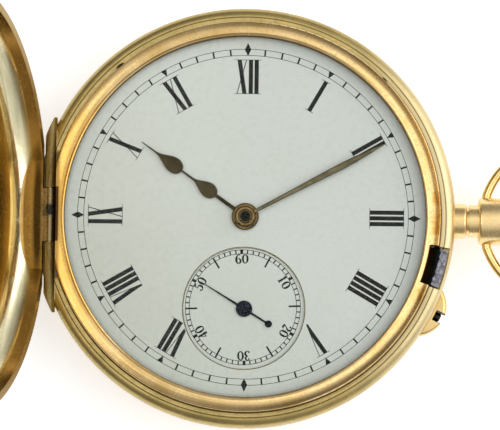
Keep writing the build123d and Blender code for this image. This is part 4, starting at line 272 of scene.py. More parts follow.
def bump(tree, shader, height, strength, distance):
    node = tree.nodes.new("ShaderNodeBump")
    node.inputs["Strength"].default_value = strength
    node.inputs["Distance"].default_value = distance
    tree.links.new(height, node.inputs["Height"])
    tree.links.new(node.outputs["Normal"], shader.inputs["Normal"])


def scratches(tree, vector, scale, thin, seed, stretch):
    """Fine hairlines, 1 on a line and 0 between: thin veins of a stretched noise."""
    mapping = tree.nodes.new("ShaderNodeMapping")
    mapping.inputs["Location"].default_value = (seed, seed * 1.7, seed * 0.6)
    mapping.inputs["Rotation"].default_value = (0.3 * seed, 0.2 * seed, 0.9 * seed)
    mapping.inputs["Scale"].default_value = stretch
    tree.links.new(vector, mapping.inputs["Vector"])
    veins = noise(tree, mapping.outputs["Vector"], scale, 2.0, 0.5, 0.3)
    return span(tree, off(tree, veins, 0.5), 1.0, 0.0, 0.0, thin)


# ---------------------------------------------------------------- masks, 1 inside and 0 outside
def cylinder_coords(tree, vector):
    """Distance from the case's axis, angle about it and height, in millimetres and radians."""
    x, y, z = axes(tree, vector)
    square = maths(tree, "ADD", times(tree, x, x), times(tree, y, y))
    return maths(tree, "SQRT", square), maths(tree, "ARCTAN2", y, x), z


def patch(tree, vector, centre, half, soft):
    """A box about a point, with soft sides."""
    return times(tree, *(span(tree, off(tree, value, middle), 1.0, 0.0, size, size + soft)
                         for value, middle, size in zip(axes(tree, vector), centre, half)))


def oval(tree, vector, centre, half, soft):
    """An ellipsoid, fading over the share soft of its size."""
    share = vector_maths(tree, "DIVIDE", vector_maths(tree, "SUBTRACT", vector, centre), half)
    return span(tree, vector_maths(tree, "LENGTH", share), 1.0, 0.0, 1.0 - soft, 1.0)


def arc_patch(tree, radius, turn, place, angle, half):
    """A point on a circle, fading to half a length along it and half a width across it."""
    along = times(tree, maths(tree, "SUBTRACT", turn, math.radians(angle)), place / half[0])
    across = times(tree, maths(tree, "SUBTRACT", radius, place), 1.0 / half[1])
    far = maths(tree, "ADD", times(tree, along, along), times(tree, across, across))
    return span(tree, far, 1.0, 0.0, 0.55, 1.0)


def groove(tree, radius, place, half, soft):
    """A ring about a radius, with soft sides."""
    return span(tree, off(tree, radius, place), 1.0, 0.0, half, half + soft)


def sector(tree, radius, turn, inner, outer, start, end, soft=0.06):
    """A sector of a ring, with soft sides."""
    middle, half = math.radians((start + end) / 2), math.radians(abs(end - start) / 2)
    aside = span(tree, off(tree, turn, middle), 1.0, 0.0, half, half + soft / outer)
    return times(tree, aside, groove(tree, radius, (inner + outer) / 2, (outer - inner) / 2, soft))


def facing(tree, way):
    """Where a surface at rest faces a direction."""
    coords = tree.nodes.new("ShaderNodeTexCoord")
    return span(tree, vector_maths(tree, "DOT_PRODUCT", coords.outputs["Normal"], way), 0.0, 1.0, -0.1, 0.1)


def closed_cover_coords(tree, vector):
    """The front cover's own coordinates, as they are when it is shut."""
    x, y, z = axes(tree, vector)
    along, above = maths(tree, "SUBTRACT", x, HINGE[0]), maths(tree, "SUBTRACT", z, HINGE[1])
    c, s = math.cos(math.radians(OPEN_ANGLE)), math.sin(math.radians(OPEN_ANGLE))
    shut_x = maths(tree, "ADD", times(tree, along, c), times(tree, above, s))
    shut_z = maths(tree, "SUBTRACT", times(tree, above, c), times(tree, along, s))
    return joined(tree, maths(tree, "ADD", shut_x, HINGE[0]), y, maths(tree, "ADD", shut_z, HINGE[1]))


def lathe_lines(tree, vector, scale=5.0):
    """Fine lines that run round the case, as its maker's lathe left them."""
    radius, turn, height = cylinder_coords(tree, vector)
    stretched = joined(tree, times(tree, radius, scale), times(tree, height, scale), times(tree, turn, 0.7))
    return noise(tree, stretched, 1.0, 3.0, 0.6)


# ---------------------------------------------------------------- metals
METAL_BUMP = 0.00006


def metal(name, dark, light, rough, hairline=0.35, dents=0.2, grime=(0.2, 0.12, 0.05), grime_amount=0.25,
          mottling=0.9, lathe=0.0, zones=None, dirt_and_shade=None, dirt_and_shade_colour=(0.07, 0.035, 0.010)):
    """Handled metal: cloudy colour, fine hairlines, soft dents, and a film where it is not rubbed.

    zones gives (mask, colour) pairs that are laid over the colour in turn, some of them painted reflections and shade,
    and the dirt masks, real dirt on some metals and painted shade on others, are laid over all.
    """
    mat, tree, shader = material(name)
    shader.inputs["Metallic"].default_value = 1.0
    vector = object_mm(tree)
    cloud = noise(tree, vector, 0.35 * mottling, 3.0)
    speck = noise(tree, vector, 3.2, 4.0)
    colour = mix_colour(tree, span(tree, cloud, 0.0, 1.0, 0.35, 0.65), dark, light)
    film = times(tree, span(tree, speck, 0.0, 1.0, 0.5, 0.75), grime_amount)
    colour = mix_colour(tree, film, colour, grime)
    if lathe:
        lines_round = lathe_lines(tree, vector)
        in_lines = tuple(c * 0.55 for c in dark)
        colour = mix_colour(tree, span(tree, lines_round, 0.0, 0.42, 0.5, 0.68), colour, in_lines)
    for zone, tint in (zones(tree, vector) if zones else ()):
        colour = mix_colour(tree, zone, colour, tint)
    if dirt_and_shade:
        mask, *others = dirt_and_shade(tree, vector)
        for other in others:
            mask = maths(tree, "MAXIMUM", mask, other)
        colour = mix_colour(tree, mask, colour, dirt_and_shade_colour)
    tree.links.new(colour, shader.inputs["Base Color"])
    lines = maths(tree, "MAXIMUM", scratches(tree, vector, 0.9, 0.006, 1.0, (1.0, 7.0, 3.0)),
                  scratches(tree, vector, 0.7, 0.005, 2.3, (6.0, 1.0, 2.0)))
    lines = times(tree, lines, span(tree, noise(tree, vector, 0.5, 2.0), 0.0, 1.0, 0.4, 0.65))
    wear = maths(tree, "ADD", span(tree, speck, rough[0], rough[1], 0.3, 0.7), times(tree, lines, hairline * 0.5))
    if dirt_and_shade:
        wear = maths(tree, "ADD", wear, times(tree, mask, 0.3))
    tree.links.new(wear, shader.inputs["Roughness"])
    height = maths(tree, "ADD", noise(tree, vector, 0.45, 2.0), times(tree, lines, -hairline))
    if lathe:
        height = maths(tree, "ADD", height, times(tree, lines_round, lathe))
    bump(tree, shader, height, dents, METAL_BUMP)
    return mat


# Places of the case's painted shade, where shade falls in its joints, notches, slot and hinge gaps, in millimetres and
# degrees: each joint line's radius, half width, softness and amount, each lifting notch's radius, angle and half size,
# and each patch's centre, half size, softness and amount
SHADED_JOINT_LINES = ((23.27, 0.06, 0.07, 0.8), (23.86, 0.03, 0.07, 0.7), (21.42, 0.06, 0.05, 0.9))
LIFTING_NOTCHES = ((23.3, 130.3, (0.72, 0.28)), (23.25, 45.2, (0.62, 0.2)))
CATCH_SLOT = (22.12, 23.5, -20.0, -8.3)
HINGE_GAPS = (((-22.4, 0.0, 9.6), (0.22, 3.2, 1.5), 0.15, 1.0),
              ((-22.5, 0.0, 9.4), (0.3, 7.4, 1.6), 0.4, 0.6),
              ((-23.4, 0.0, 8.4), (0.6, 11.4, 1.1), 0.3, 0.5))


def case_dirt(tree, vector):
    """Painted shade where shade falls in the case's joints: round the bezel, at its two lifting notches, in the catch's
    slot and by the hinge.
    """
    radius, turn, height = cylinder_coords(tree, vector)
    masks = [times(tree, groove(tree, radius, place, half, soft), amount)
             for place, half, soft, amount in SHADED_JOINT_LINES]
    masks += [arc_patch(tree, radius, turn, *notch) for notch in LIFTING_NOTCHES]
    masks.append(sector(tree, radius, turn, *CATCH_SLOT))
    masks += [times(tree, patch(tree, vector, centre, half, soft), amount)
              for centre, half, soft, amount in HINGE_GAPS]
    return masks


def cover_dirt(tree, vector):
    """Grease on the front cover's knuckle, with a thick spot."""
    spot = patch(tree, vector, (HINGE[0], 0.7, 8.6), (0.6, 0.7, 0.9), 0.6)
    film = patch(tree, vector, (HINGE[0], 0.0, HINGE[1]), (0.75, 3.6, 0.75), 0.3)
    return [times(tree, spot, span(tree, noise(tree, vector, 1.4, 3.0), 0.25, 1.0, 0.3, 0.55)),
            times(tree, film, 0.35)]


def cover_zones(tree, vector):
    """Painted reflections and shade on the inside of the cover: deep yellow dome with brown clouds, pale wall, dull
    flange, dark hinge plate with a darker edge, and a darker knuckle.
    """
    radius, turn, height = cylinder_coords(tree, closed_cover_coords(tree, vector))
    a = math.radians(OPEN_ANGLE)
    inside = facing(tree, (math.sin(a), 0.0, -math.cos(a)))
    cloud = span(tree, noise(tree, vector, 0.12, 2.0, 0.5, 0.4), 0.0, 1.0, 0.38, 0.66)
    dome = times(tree, span(tree, radius, 1.0, 0.0, 20.2, 21.0), inside)
    wall = times(tree, groove(tree, radius, 22.2, 1.0, 0.3), inside)
    flange = times(tree, span(tree, radius, 0.0, 1.0, 23.2, 23.5), inside)
    near = times(tree, span(tree, radius, 1.0, 0.0, 24.0, 24.2), span(tree, height, 1.0, 0.0, 11.6, 12.0))
    plate = times(tree, oval(tree, vector, (-24.9, 0.0, 9.5), (1.7, 8.8, 6.0), 0.12), near)
    edge = times(tree, oval(tree, vector, (-24.65, 0.0, 9.5), (0.75, 9.2, 6.0), 0.45), near)
    knuckle = patch(tree, vector, (-23.3, 0.0, 8.6), (0.9, 3.6, 0.9), 0.2)
    return [(times(tree, dome, 0.85), (0.56, 0.34, 0.065)),
            (times(tree, dome, cloud, 0.6), (0.24, 0.13, 0.02)),
            (times(tree, wall, 0.9), (1.0, 0.93, 0.62)),
            (times(tree, flange, 0.8), (0.29, 0.18, 0.03)),
            (times(tree, plate, 0.9), (0.30, 0.19, 0.04)),
            (times(tree, edge, 0.95), (0.05, 0.032, 0.009)),
            (times(tree, knuckle, 0.85), (0.30, 0.20, 0.075))]


def uneven_x(tree, vector, scale, reach):
    """The x coordinate with a cloudy error of up to reach."""
    return maths(tree, "ADD", axes(tree, vector)["X"], span(tree, noise(tree, vector, scale, 3.0), -reach, reach))


def bezel_zones(tree, vector):
    """Deeper yellow beside the hinge, a painted reflection of the open cover, and two orange patches beside the pendant
    and under the catch.
    """
    beside_hinge = span(tree, uneven_x(tree, vector, 0.4, 2.0), 1.0, 0.0, -21.5, -15.5)
    blotch = span(tree, noise(tree, vector, 0.7, 3.0, 0.6), 0.3, 1.0, 0.4, 0.6)
    orange_patch = maths(tree, "MAXIMUM", patch(tree, vector, (22.7, 0.6, 10.0), (0.4, 2.4, 4.0), 0.35),
                  patch(tree, vector, (21.0, -10.0, 10.0), (0.35, 1.5, 4.0), 0.35))
    return [(times(tree, beside_hinge, 0.75), (0.66, 0.37, 0.06)),
            (times(tree, orange_patch, blotch, 0.75), (0.55, 0.27, 0.04))]


def band_zones(tree, vector):
    """A painted reflection: the band is paler to the right, beside the pendant and the catch."""
    return [(span(tree, uneven_x(tree, vector, 0.3, 2.5), 0.0, 0.8, 12.0, 24.0), (0.82, 0.68, 0.40))]


def guard_dirt(tree, vector):
    """The gap in the push pin's guard, painted black as its shadow."""
    radius, turn, height = cylinder_coords(tree, vector)
    return [sector(tree, radius, turn, 25.3, 28.0, -27.95, -25.1, 0.05)]


def arbor_dirt(tree, vector):
    """The dark squared end of the centre arbor."""
    return [patch(tree, vector, (0.0, 0.0, 10.0), (0.75, 0.75, 1.4), 0.05)]


def catch_dirt(tree, vector):
    """Painted shade in the recess at the inner side of the catch."""
    radius, turn, height = cylinder_coords(tree, vector)
    uneven = maths(tree, "ADD", radius, span(tree, noise(tree, vector, 1.6, 4.0), -0.14, 0.14, 0.3, 0.7))
    return [sector(tree, uneven, turn, 20.0, 23.45, -30.0, 0.0, 0.12)]


def hub_rings(tree, vector):
    """Brighter rings worn on the hubs of the hands."""
    radius, turn, height = cylinder_coords(tree, vector)
    rings = maths(tree, "MAXIMUM", groove(tree, radius, 0.98, 0.05, 0.08), groove(tree, radius, 1.36, 0.06, 0.08))
    return [times(tree, rings, span(tree, noise(tree, vector, 1.6, 3.0), 0.2, 0.9, 0.3, 0.65))]


def hub_zones(tree, vector):
    """The darker middle of the minute hand's hub."""
    radius, turn, height = cylinder_coords(tree, vector)
    return [(span(tree, radius, 0.8, 0.0, 1.25, 1.5), (0.042, 0.033, 0.014))]


GOLD_DARK, GOLD_LIGHT = (0.76, 0.53, 0.19), (0.88, 0.65, 0.29)
BRASS_DARK, BRASS_LIGHT = (0.70, 0.47, 0.17), (0.78, 0.56, 0.25)
WORN_BRONZE = (0.40, 0.24, 0.09)
gold = metal("worn_gold", GOLD_DARK, GOLD_LIGHT, (0.14, 0.27))
bezel_gold = metal("bezel_gold", (0.77, 0.52, 0.20), (0.90, 0.65, 0.31), (0.16, 0.28), lathe=0.6, zones=bezel_zones,
                   dirt_and_shade=case_dirt)
# The band's gold is darker than the rest of the case as painted shade, and paler to the right as a painted reflection.
shaded_band_gold = metal("shaded_band_gold", (0.46, 0.35, 0.13), (0.59, 0.445, 0.17), (0.3, 0.4), lathe=2.4, zones=band_zones,
                  dirt_and_shade=case_dirt, grime=(0.24, 0.19, 0.07), grime_amount=0.5)
cover_gold = metal("cover_gold", (0.72, 0.48, 0.15), (0.86, 0.62, 0.26), (0.12, 0.24), zones=cover_zones,
                   dirt_and_shade=cover_dirt, dirt_and_shade_colour=(0.03, 0.035, 0.035))
guard_gold = metal("guard_gold", GOLD_DARK, GOLD_LIGHT, (0.2, 0.3), dirt_and_shade=guard_dirt, dirt_and_shade_colour=(0.012, 0.01, 0.006))
pendant_gold = metal("pendant_gold", (0.93, 0.66, 0.29), (0.98, 0.76, 0.39), (0.2, 0.34), grime=(0.55, 0.30, 0.13))
gilt = metal("frosted_gilding", (0.72, 0.50, 0.20), (0.80, 0.58, 0.27), (0.32, 0.46), hairline=0.1, dents=0.3)
brass = metal("wheel_brass", BRASS_DARK, BRASS_LIGHT, (0.2, 0.32), hairline=0.2)
arbor_brass = metal("arbor_brass", BRASS_DARK, BRASS_LIGHT, (0.2, 0.32), hairline=0.2, dirt_and_shade=arbor_dirt,
                    dirt_and_shade_colour=(0.012, 0.012, 0.008))
steel = metal("polished_steel", (0.48, 0.48, 0.49), (0.58, 0.58, 0.58), (0.16, 0.3), grime=(0.12, 0.1, 0.08))
blued = metal("blued_steel", (0.007, 0.009, 0.012), (0.014, 0.017, 0.024), (0.24, 0.34), hairline=0.1,
              grime=(0.006, 0.006, 0.008))
catch_steel = metal("catch_steel", (0.10, 0.10, 0.115), (0.40, 0.39, 0.45), (0.3, 0.5), grime=(0.13, 0.125, 0.115),
                    grime_amount=0.7, mottling=7.0, dirt_and_shade=catch_dirt, dirt_and_shade_colour=(0.012, 0.014, 0.012))
# Near black: the push pin's steel painted as the shadow in its guard's gap.
shadowed_pin_steel = metal("shadowed_pin_steel", (0.02, 0.018, 0.014), (0.05, 0.042, 0.03), (0.35, 0.5), hairline=0.1)
bronze = metal("oxidised_hands", (0.030, 0.023, 0.008), (0.058, 0.046, 0.018), (0.3, 0.42), hairline=0.1,
               grime=(0.066, 0.028, 0.014), grime_amount=0.7, mottling=2.2, dirt_and_shade=hub_rings, dirt_and_shade_colour=WORN_BRONZE)
olive_bronze = metal("olive_hand", (0.095, 0.078, 0.040), (0.165, 0.145, 0.085), (0.3, 0.42), hairline=0.1,
                     grime=(0.10, 0.065, 0.035), grime_amount=0.6, mottling=2.2, zones=hub_zones, dirt_and_shade=hub_rings,
                     dirt_and_shade_colour=WORN_BRONZE)
edge_shade = metal("sink_edge", (0.10, 0.085, 0.045), (0.16, 0.135, 0.07), (0.4, 0.5), hairline=0.05)


# ---------------------------------------------------------------- jewels, enamel, ink and glass
def ruby_material():
    mat, tree, shader = material("ruby_jewel")
    vector = object_mm(tree)
    tree.links.new(mix_colour(tree, noise(tree, vector, 4.0, 3.0), (0.28, 0.01, 0.05), (0.5, 0.03, 0.09)),
                   shader.inputs["Base Color"])
    tree.links.new(span(tree, noise(tree, vector, 9.0, 2.0), 0.04, 0.12), shader.inputs["Roughness"])
    shader.inputs["IOR"].default_value = 1.76
    shader.inputs["Coat Weight"].default_value = 0.6
    return mat


def enamel_material(name, pale, shade):
    """Fired enamel: even grey-white, darker and warmer to the lower left, partly its tone and partly painted shade,
    with a painted shadow at its edge, under a gloss.
    """
    mat, tree, shader = material(name)
    vector = object_mm(tree)
    x, y, z = axes(tree, vector)
    to_lower_left = times(tree, maths(tree, "ADD", x, y), -1.0)
    lean = maths(tree, "ADD", to_lower_left, span(tree, noise(tree, vector, 0.09, 2.0, 0.5), -9.0, 9.0))
    warm = noise(tree, vector, 0.16, 2.0, 0.5, 0.4)
    speck = noise(tree, vector, 2.6, 2.0)
    radius, turn, height = cylinder_coords(tree, vector)
    # Darker and warmer to the lower left: partly the enamel's tone, partly painted shade.
    colour = mix_colour(tree, span(tree, lean, 0.0, 1.0, -2.0, 26.0), pale, shade)
    colour = mix_colour(tree, span(tree, warm, 0.0, 0.10, 0.5, 0.75), colour, (0.64, 0.61, 0.53))
    colour = mix_colour(tree, span(tree, speck, 0.0, 0.5, 0.80, 0.85), colour, (0.50, 0.45, 0.36))
    # A painted shadow at the dial's edge, under the bezel.
    colour = mix_colour(tree, span(tree, radius, 0.0, 0.5, 21.0, 21.5), colour, (0.30, 0.29, 0.22))
    tree.links.new(colour, shader.inputs["Base Color"])
    tree.links.new(span(tree, noise(tree, vector, 1.2, 3.0), 0.22, 0.34), shader.inputs["Roughness"])
    shader.inputs["Coat Weight"].default_value = 0.25
    shader.inputs["Coat Roughness"].default_value = 0.08
    bump(tree, shader, noise(tree, vector, 0.5, 3.0), 0.2, 0.00003)
    return mat


def ink_material():
    mat, tree, shader = material("dial_ink")
    vector = object_mm(tree)
    tree.links.new(mix_colour(tree, noise(tree, vector, 6.0, 3.0), (0.004, 0.005, 0.004), (0.016, 0.017, 0.013)),
                   shader.inputs["Base Color"])
    shader.inputs["Specular IOR Level"].default_value = 0.15
    tree.links.new(span(tree, noise(tree, vector, 8.0, 2.0), 0.3, 0.5), shader.inputs["Roughness"])
    return mat


def glass_material():
    """Clear glass that lets the lamps through, with faint wiping marks."""
    mat, tree, shader = material("watch_glass")
    tint = (0.97, 0.985, 0.975, 1.0)
    shader.inputs["Base Color"].default_value = tint
    shader.inputs["Transmission Weight"].default_value = 1.0
    shader.inputs["IOR"].default_value = 1.15
    marks = scratches(tree, object_mm(tree), 0.5, 0.004, 3.1, (1.0, 6.0, 1.0))
    tree.links.new(span(tree, marks, 0.0, 0.12), shader.inputs["Roughness"])
    clear = tree.nodes.new("ShaderNodeBsdfTransparent")
    clear.inputs["Color"].default_value = tint
    path = tree.nodes.new("ShaderNodeLightPath")
    through = maths(tree, "MAXIMUM", path.outputs["Is Shadow Ray"], path.outputs["Is Diffuse Ray"])
    mix = tree.nodes.new("ShaderNodeMixShader")
    tree.links.new(through, mix.inputs["Fac"])
    tree.links.new(shader.outputs["BSDF"], mix.inputs[1])
    tree.links.new(clear.outputs["BSDF"], mix.inputs[2])
    tree.links.new(mix.outputs["Shader"], tree.nodes["Material Output"].inputs["Surface"])
    return mat


enamel = enamel_material("dial_enamel", (0.70, 0.72, 0.685), (0.61, 0.63, 0.575))
seconds_enamel = enamel_material("seconds_enamel", (0.68, 0.705, 0.665), (0.62, 0.64, 0.59))
ink = ink_material()

LOOK_OF_SLOT = {"gold": gold, "gilt_plate": gilt, "wheel_brass": brass, "steel": steel, "blued_steel": blued,
                "bronze": bronze, "ruby": ruby_material(), "glass": glass_material(), "enamel": enamel}
LOOK_OF_NODE = {"seconds_dial": seconds_enamel, "front_cover": cover_gold, "case_middle": shaded_band_gold,
                "bezel": bezel_gold, "lock_spring": catch_steel, "push_pin_guard": guard_gold,
                "push_pin": shadowed_pin_steel, "center_wheel": arbor_brass, "cannon_pinion": arbor_brass,
                "pendant": pendant_gold}
for name, obj in nodes.items():
    for i, current in enumerate(obj.data.materials):
        base = current.name.split(".")[0] if current else "gold"
        obj.data.materials[i] = LOOK_OF_SLOT.get(base, gold)
for name, look in LOOK_OF_NODE.items():
    nodes[name].data.materials[0] = look

# ---------------------------------------------------------------- dial printing, in millimetres
INK_SINK, INK_RISE = 0.004, 0.012
dial_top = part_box("dial")[1].z / MM
seconds_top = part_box("seconds_dial")[1].z / MM
dial_ink = (dial_top - INK_SINK, dial_top + INK_RISE)
seconds_ink = (seconds_top - INK_SINK, seconds_top + INK_RISE)

SECONDS_CENTRE = (0.0, -10.93)
SINK_RADIUS, SINK_MARGIN = 7.25, 0.14
PRINT_CENTRE = (0.1, 0.0)
TRACK_OUTER, TRACK_INNER, TRACK_HALF = 20.0, 19.26, 0.03
NUMERAL_FOOT, NUMERAL_HEAD = 14.68, 18.72
STROKE, HAIRLINE, SERIF = 0.5, 0.06, 0.3
HALF = STROKE / 2

# Marks of the minute track as (across, out) corners, and the Roman letters as outlines of (across, height share)
# corners with their left and right ends. ADVANCE is the distance from one letter to the next.
DIAMOND = ((0, 19.18), (0.38, 19.95), (0, 20.75), (-0.38, 19.95))
ARROW = ((0, 19.16), (0.34, 19.96), (0, 20.04), (-0.34, 19.96))
TICK = ((-0.1, TRACK_INNER), (0.1, TRACK_INNER), (0.1, TRACK_OUTER), (-0.1, TRACK_OUTER))
HOURS = ("XII", "I", "II", "III", "IIII", "V", "", "VII", "VIII", "IX", "X", "XI")
LETTERS = {
    "I": ([((-HALF, 0.0), (HALF, 0.0), (HALF, 1.0), (-HALF, 1.0))], -HALF, HALF),
    "V": ([((0.18, 0.0), (0.36, 0.0), (0.51, 0.36), (HALF, 1.0), (-HALF, 1.0)),
           ((0.31, 0.0), (0.38, 0.0), (0.86, 1.0), (0.78, 1.0))], -HALF, 0.86),
    "X": ([((0.62 - HALF, 0.0), (0.62 + HALF, 0.0), (HALF, 1.0), (-HALF, 1.0)),
           ((-0.32, 0.0), (-0.22, 0.0), (0.88, 1.0), (0.78, 1.0))], -0.32, 0.88),
}
ADVANCE = {"II": 0.68, "VI": 1.17, "XI": 1.36, "IX": 0.86}
V_FOOT = 0.9


def radial_place(centre, angle):
    """A function from (across, out) to x and y, where out points from the centre at an angle."""
    a = math.radians(angle)
    out, side = (math.cos(a), math.sin(a)), (math.sin(a), -math.cos(a))
    return lambda u, v: (centre[0] + side[0] * u + out[0] * v, centre[1] + side[1] * u + out[1] * v)


def numeral(word):
    """Outlines of a Roman numeral about its middle, and its left and right ends."""
    shapes, x, left, right = [], 0.0, 0.0, 0.0
    for i, letter in enumerate(word):
        if i:
            x += ADVANCE[word[i - 1] + letter]
        outlines, low, high = LETTERS[letter]
        shapes += [[(x + u, v) for u, v in outline] for outline in outlines]
        left, right = min(left, x + low), max(right, x + high)
    middle = (left + right) / 2
    return [[(u - middle, v) for u, v in shape] for shape in shapes], left - middle, right - middle


def clip_outside_sink(points):
    """The part of a convex outline outside the seconds dial's sink, cut by a tangent line."""
    cx = sum(p[0] for p in points) / len(points) - SECONDS_CENTRE[0]
    cy = sum(p[1] for p in points) / len(points) - SECONDS_CENTRE[1]
    length = math.hypot(cx, cy)
    nx, ny = cx / length, cy / length

    def beyond(p):
        return (p[0] - SECONDS_CENTRE[0]) * nx + (p[1] - SECONDS_CENTRE[1]) * ny - SINK_RADIUS - SINK_MARGIN

    kept = []
    for i, p in enumerate(points):
        q = points[(i + 1) % len(points)]
        sp, sq = beyond(p), beyond(q)
        if sp >= 0:
            kept.append(p)
        if (sp >= 0) != (sq >= 0):
            t = sp / (sp - sq)
            kept.append((p[0] + (q[0] - p[0]) * t, p[1] + (q[1] - p[1]) * t))
    return kept


def print_shape(bm, points):
    """A shape of the main dial, cut off at the sink."""
    if any(math.dist(p, SECONDS_CENTRE) < SINK_RADIUS + SINK_MARGIN for p in points):
        points = clip_outside_sink(points)
    if len(points) > 2:
        prism(bm, points, *dial_ink)


def print_dial():
    """The minute track and the hours, of which the sixth is left out for the seconds dial."""
    bm = bmesh.new()
    for radius in (TRACK_OUTER, TRACK_INNER):
        ring(bm, PRINT_CENTRE, radius, TRACK_HALF, TRACK_HALF, *dial_ink, steps=360)
    for minute in range(60):
        place = radial_place(PRINT_CENTRE, 90 - 6 * minute)
        shape = DIAMOND if minute % 15 == 0 else ARROW if minute % 5 == 0 else TICK
        prism(bm, [place(u, v) for u, v in shape], *dial_ink)
    for hour, word in enumerate(HOURS):
        if not word:
            continue
        place = radial_place(PRINT_CENTRE, 90 - 30 * hour)
        shapes, left, right = numeral(word)
        for shape in shapes:
            print_shape(bm, [place(u, NUMERAL_FOOT + (NUMERAL_HEAD - NUMERAL_FOOT) * v) for u, v in shape])
        foot_left = left + V_FOOT if word[0] == "V" else left - SERIF
        foot_right = right if word[-1] == "V" else right + SERIF
        serifs = [(left - SERIF, right + SERIF, NUMERAL_HEAD), (foot_left, foot_right, NUMERAL_FOOT)]
        for start, end, out in serifs[:1] if word == "V" else serifs:
            low, high = out - HAIRLINE / 2, out + HAIRLINE / 2
            print_shape(bm, [place(u, v) for u, v in ((start, low), (end, low), (end, high), (start, high))])
    return bm


# Figures of the seconds dial, each as pen strokes of (x, y, width) in a box one unit high
FIGURES = {
    "0": [[(0.31, 1.0, 0.05), (0.1, 0.8, 0.13), (0.05, 0.5, 0.17), (0.1, 0.2, 0.13), (0.31, 0.0, 0.05)],
          [(0.31, 0.0, 0.05), (0.52, 0.2, 0.13), (0.57, 0.5, 0.17), (0.52, 0.8, 0.13), (0.31, 1.0, 0.05)]],
    "1": [[(0.3, 0.99, 0.17), (0.3, 0.5, 0.17), (0.3, 0.01, 0.17)],
          [(0.08, 0.86, 0.04), (0.2, 0.92, 0.07), (0.3, 0.99, 0.1)],
          [(0.1, 0.02, 0.05), (0.3, 0.02, 0.05), (0.5, 0.02, 0.05)]],
    "2": [[(0.08, 0.74, 0.14), (0.14, 0.92, 0.08), (0.31, 1.0, 0.05), (0.5, 0.88, 0.15), (0.5, 0.68, 0.15),
           (0.32, 0.42, 0.08), (0.1, 0.1, 0.05)],
          [(0.08, 0.06, 0.1), (0.25, 0.1, 0.14), (0.42, 0.04, 0.14), (0.56, 0.2, 0.05)]],
    "3": [[(0.1, 0.8, 0.14), (0.18, 0.95, 0.07), (0.32, 1.0, 0.05), (0.48, 0.88, 0.14), (0.46, 0.65, 0.13),
           (0.26, 0.54, 0.05)],
          [(0.26, 0.54, 0.05), (0.48, 0.44, 0.14), (0.52, 0.2, 0.16), (0.34, 0.0, 0.06), (0.16, 0.04, 0.07),
           (0.07, 0.2, 0.15)]],
    "4": [[(0.42, 1.0, 0.06), (0.25, 0.62, 0.06), (0.04, 0.28, 0.05)],
          [(0.04, 0.27, 0.06), (0.3, 0.27, 0.06), (0.6, 0.27, 0.06)],
          [(0.42, 1.0, 0.15), (0.42, 0.5, 0.16), (0.42, 0.0, 0.16)],
          [(0.26, 0.02, 0.05), (0.42, 0.02, 0.05), (0.58, 0.02, 0.05)]],
    "5": [[(0.14, 0.98, 0.06), (0.14, 0.75, 0.06), (0.13, 0.52, 0.05)],
          [(0.14, 0.95, 0.1), (0.3, 0.93, 0.13), (0.5, 0.97, 0.05)],
          [(0.13, 0.53, 0.05), (0.3, 0.6, 0.07), (0.5, 0.5, 0.14), (0.53, 0.25, 0.16), (0.36, 0.02, 0.07),
           (0.18, 0.03, 0.07), (0.07, 0.2, 0.15)]],
    "6": [[(0.5, 0.9, 0.1), (0.4, 1.0, 0.05), (0.22, 0.9, 0.09), (0.07, 0.6, 0.16), (0.07, 0.3, 0.17),
           (0.18, 0.06, 0.1), (0.32, 0.0, 0.05)],
          [(0.32, 0.0, 0.05), (0.5, 0.12, 0.13), (0.54, 0.3, 0.16), (0.46, 0.5, 0.1), (0.32, 0.56, 0.05),
           (0.14, 0.46, 0.05)]],
}
FIGURE_MIDDLE, FIGURE_WIDTH, FIGURE_HEIGHT = 0.31, 1.05, 1.08
FIGURE_FOOT, FIGURE_ADVANCE = 5.2, 0.8
# The seconds are printed a little off the sink's centre and turned by a few degrees, as on the real dial
SECONDS_PRINT_CENTRE = (SECONDS_CENTRE[0] - 0.14, SECONDS_CENTRE[1] + 0.18)
SECONDS_LEAN = 1.9
SECONDS_OUTER, SECONDS_INNER, SECONDS_HALF = 6.82, 6.36, 0.032


def print_seconds():
    """The seconds track with its marks and figures."""
    bm = bmesh.new()
    for radius in (SECONDS_OUTER, SECONDS_INNER):
        ring(bm, SECONDS_PRINT_CENTRE, radius, SECONDS_HALF, SECONDS_HALF, *seconds_ink)
    places = [radial_place(SECONDS_PRINT_CENTRE, 90 + SECONDS_LEAN - 6 * second) for second in range(60)]
    for second, place in enumerate(places):
        if second % 10 == 0:
            half, low, high = 0.17, SECONDS_INNER - 0.02, SECONDS_OUTER + 0.04
        elif second % 5 == 0:
            half, low, high = 0.1, 5.42, SECONDS_OUTER + 0.02
        else:
            half, low, high = 0.07, SECONDS_INNER, SECONDS_OUTER
        prism(bm, [place(u, v) for u, v in ((-half, low), (half, low), (half, high), (-half, high))], *seconds_ink)
    for second in range(0, 60, 10):
        for k, figure in enumerate(str(second or 60)):
            def place(x, y, k=k, turned_to=places[second]):
                return turned_to((x - FIGURE_MIDDLE) * FIGURE_WIDTH + (k - 0.5) * FIGURE_ADVANCE,
                                 FIGURE_FOOT + FIGURE_HEIGHT * y)

            for points in FIGURES[figure]:
                stroke(bm, [(x, y, w * 1.3 + 0.01) for x, y, w in points], place, *seconds_ink)
    return bm


def sink_edge():
    """The dark line where the seconds dial meets the main dial."""
    bm = bmesh.new()
    centre = (SECONDS_CENTRE[0] - 0.04, SECONDS_CENTRE[1] + 0.06)
    ring(bm, centre, SINK_RADIUS, 0.04, 0.06, dial_top - 0.2, dial_top + 0.008, steps=240)
    return bm


new_piece("dial_print", print_dial(), ink, "case", smooth=False)
new_piece("seconds_print", print_seconds(), ink, "case", smooth=False)
new_piece("sink_line", sink_edge(), edge_shade, "case")

# ---------------------------------------------------------------- hands, in millimetres and degrees
HOUR_ANGLE, MINUTE_ANGLE, SECONDS_ANGLE = 144.8, 28.1, 148.6


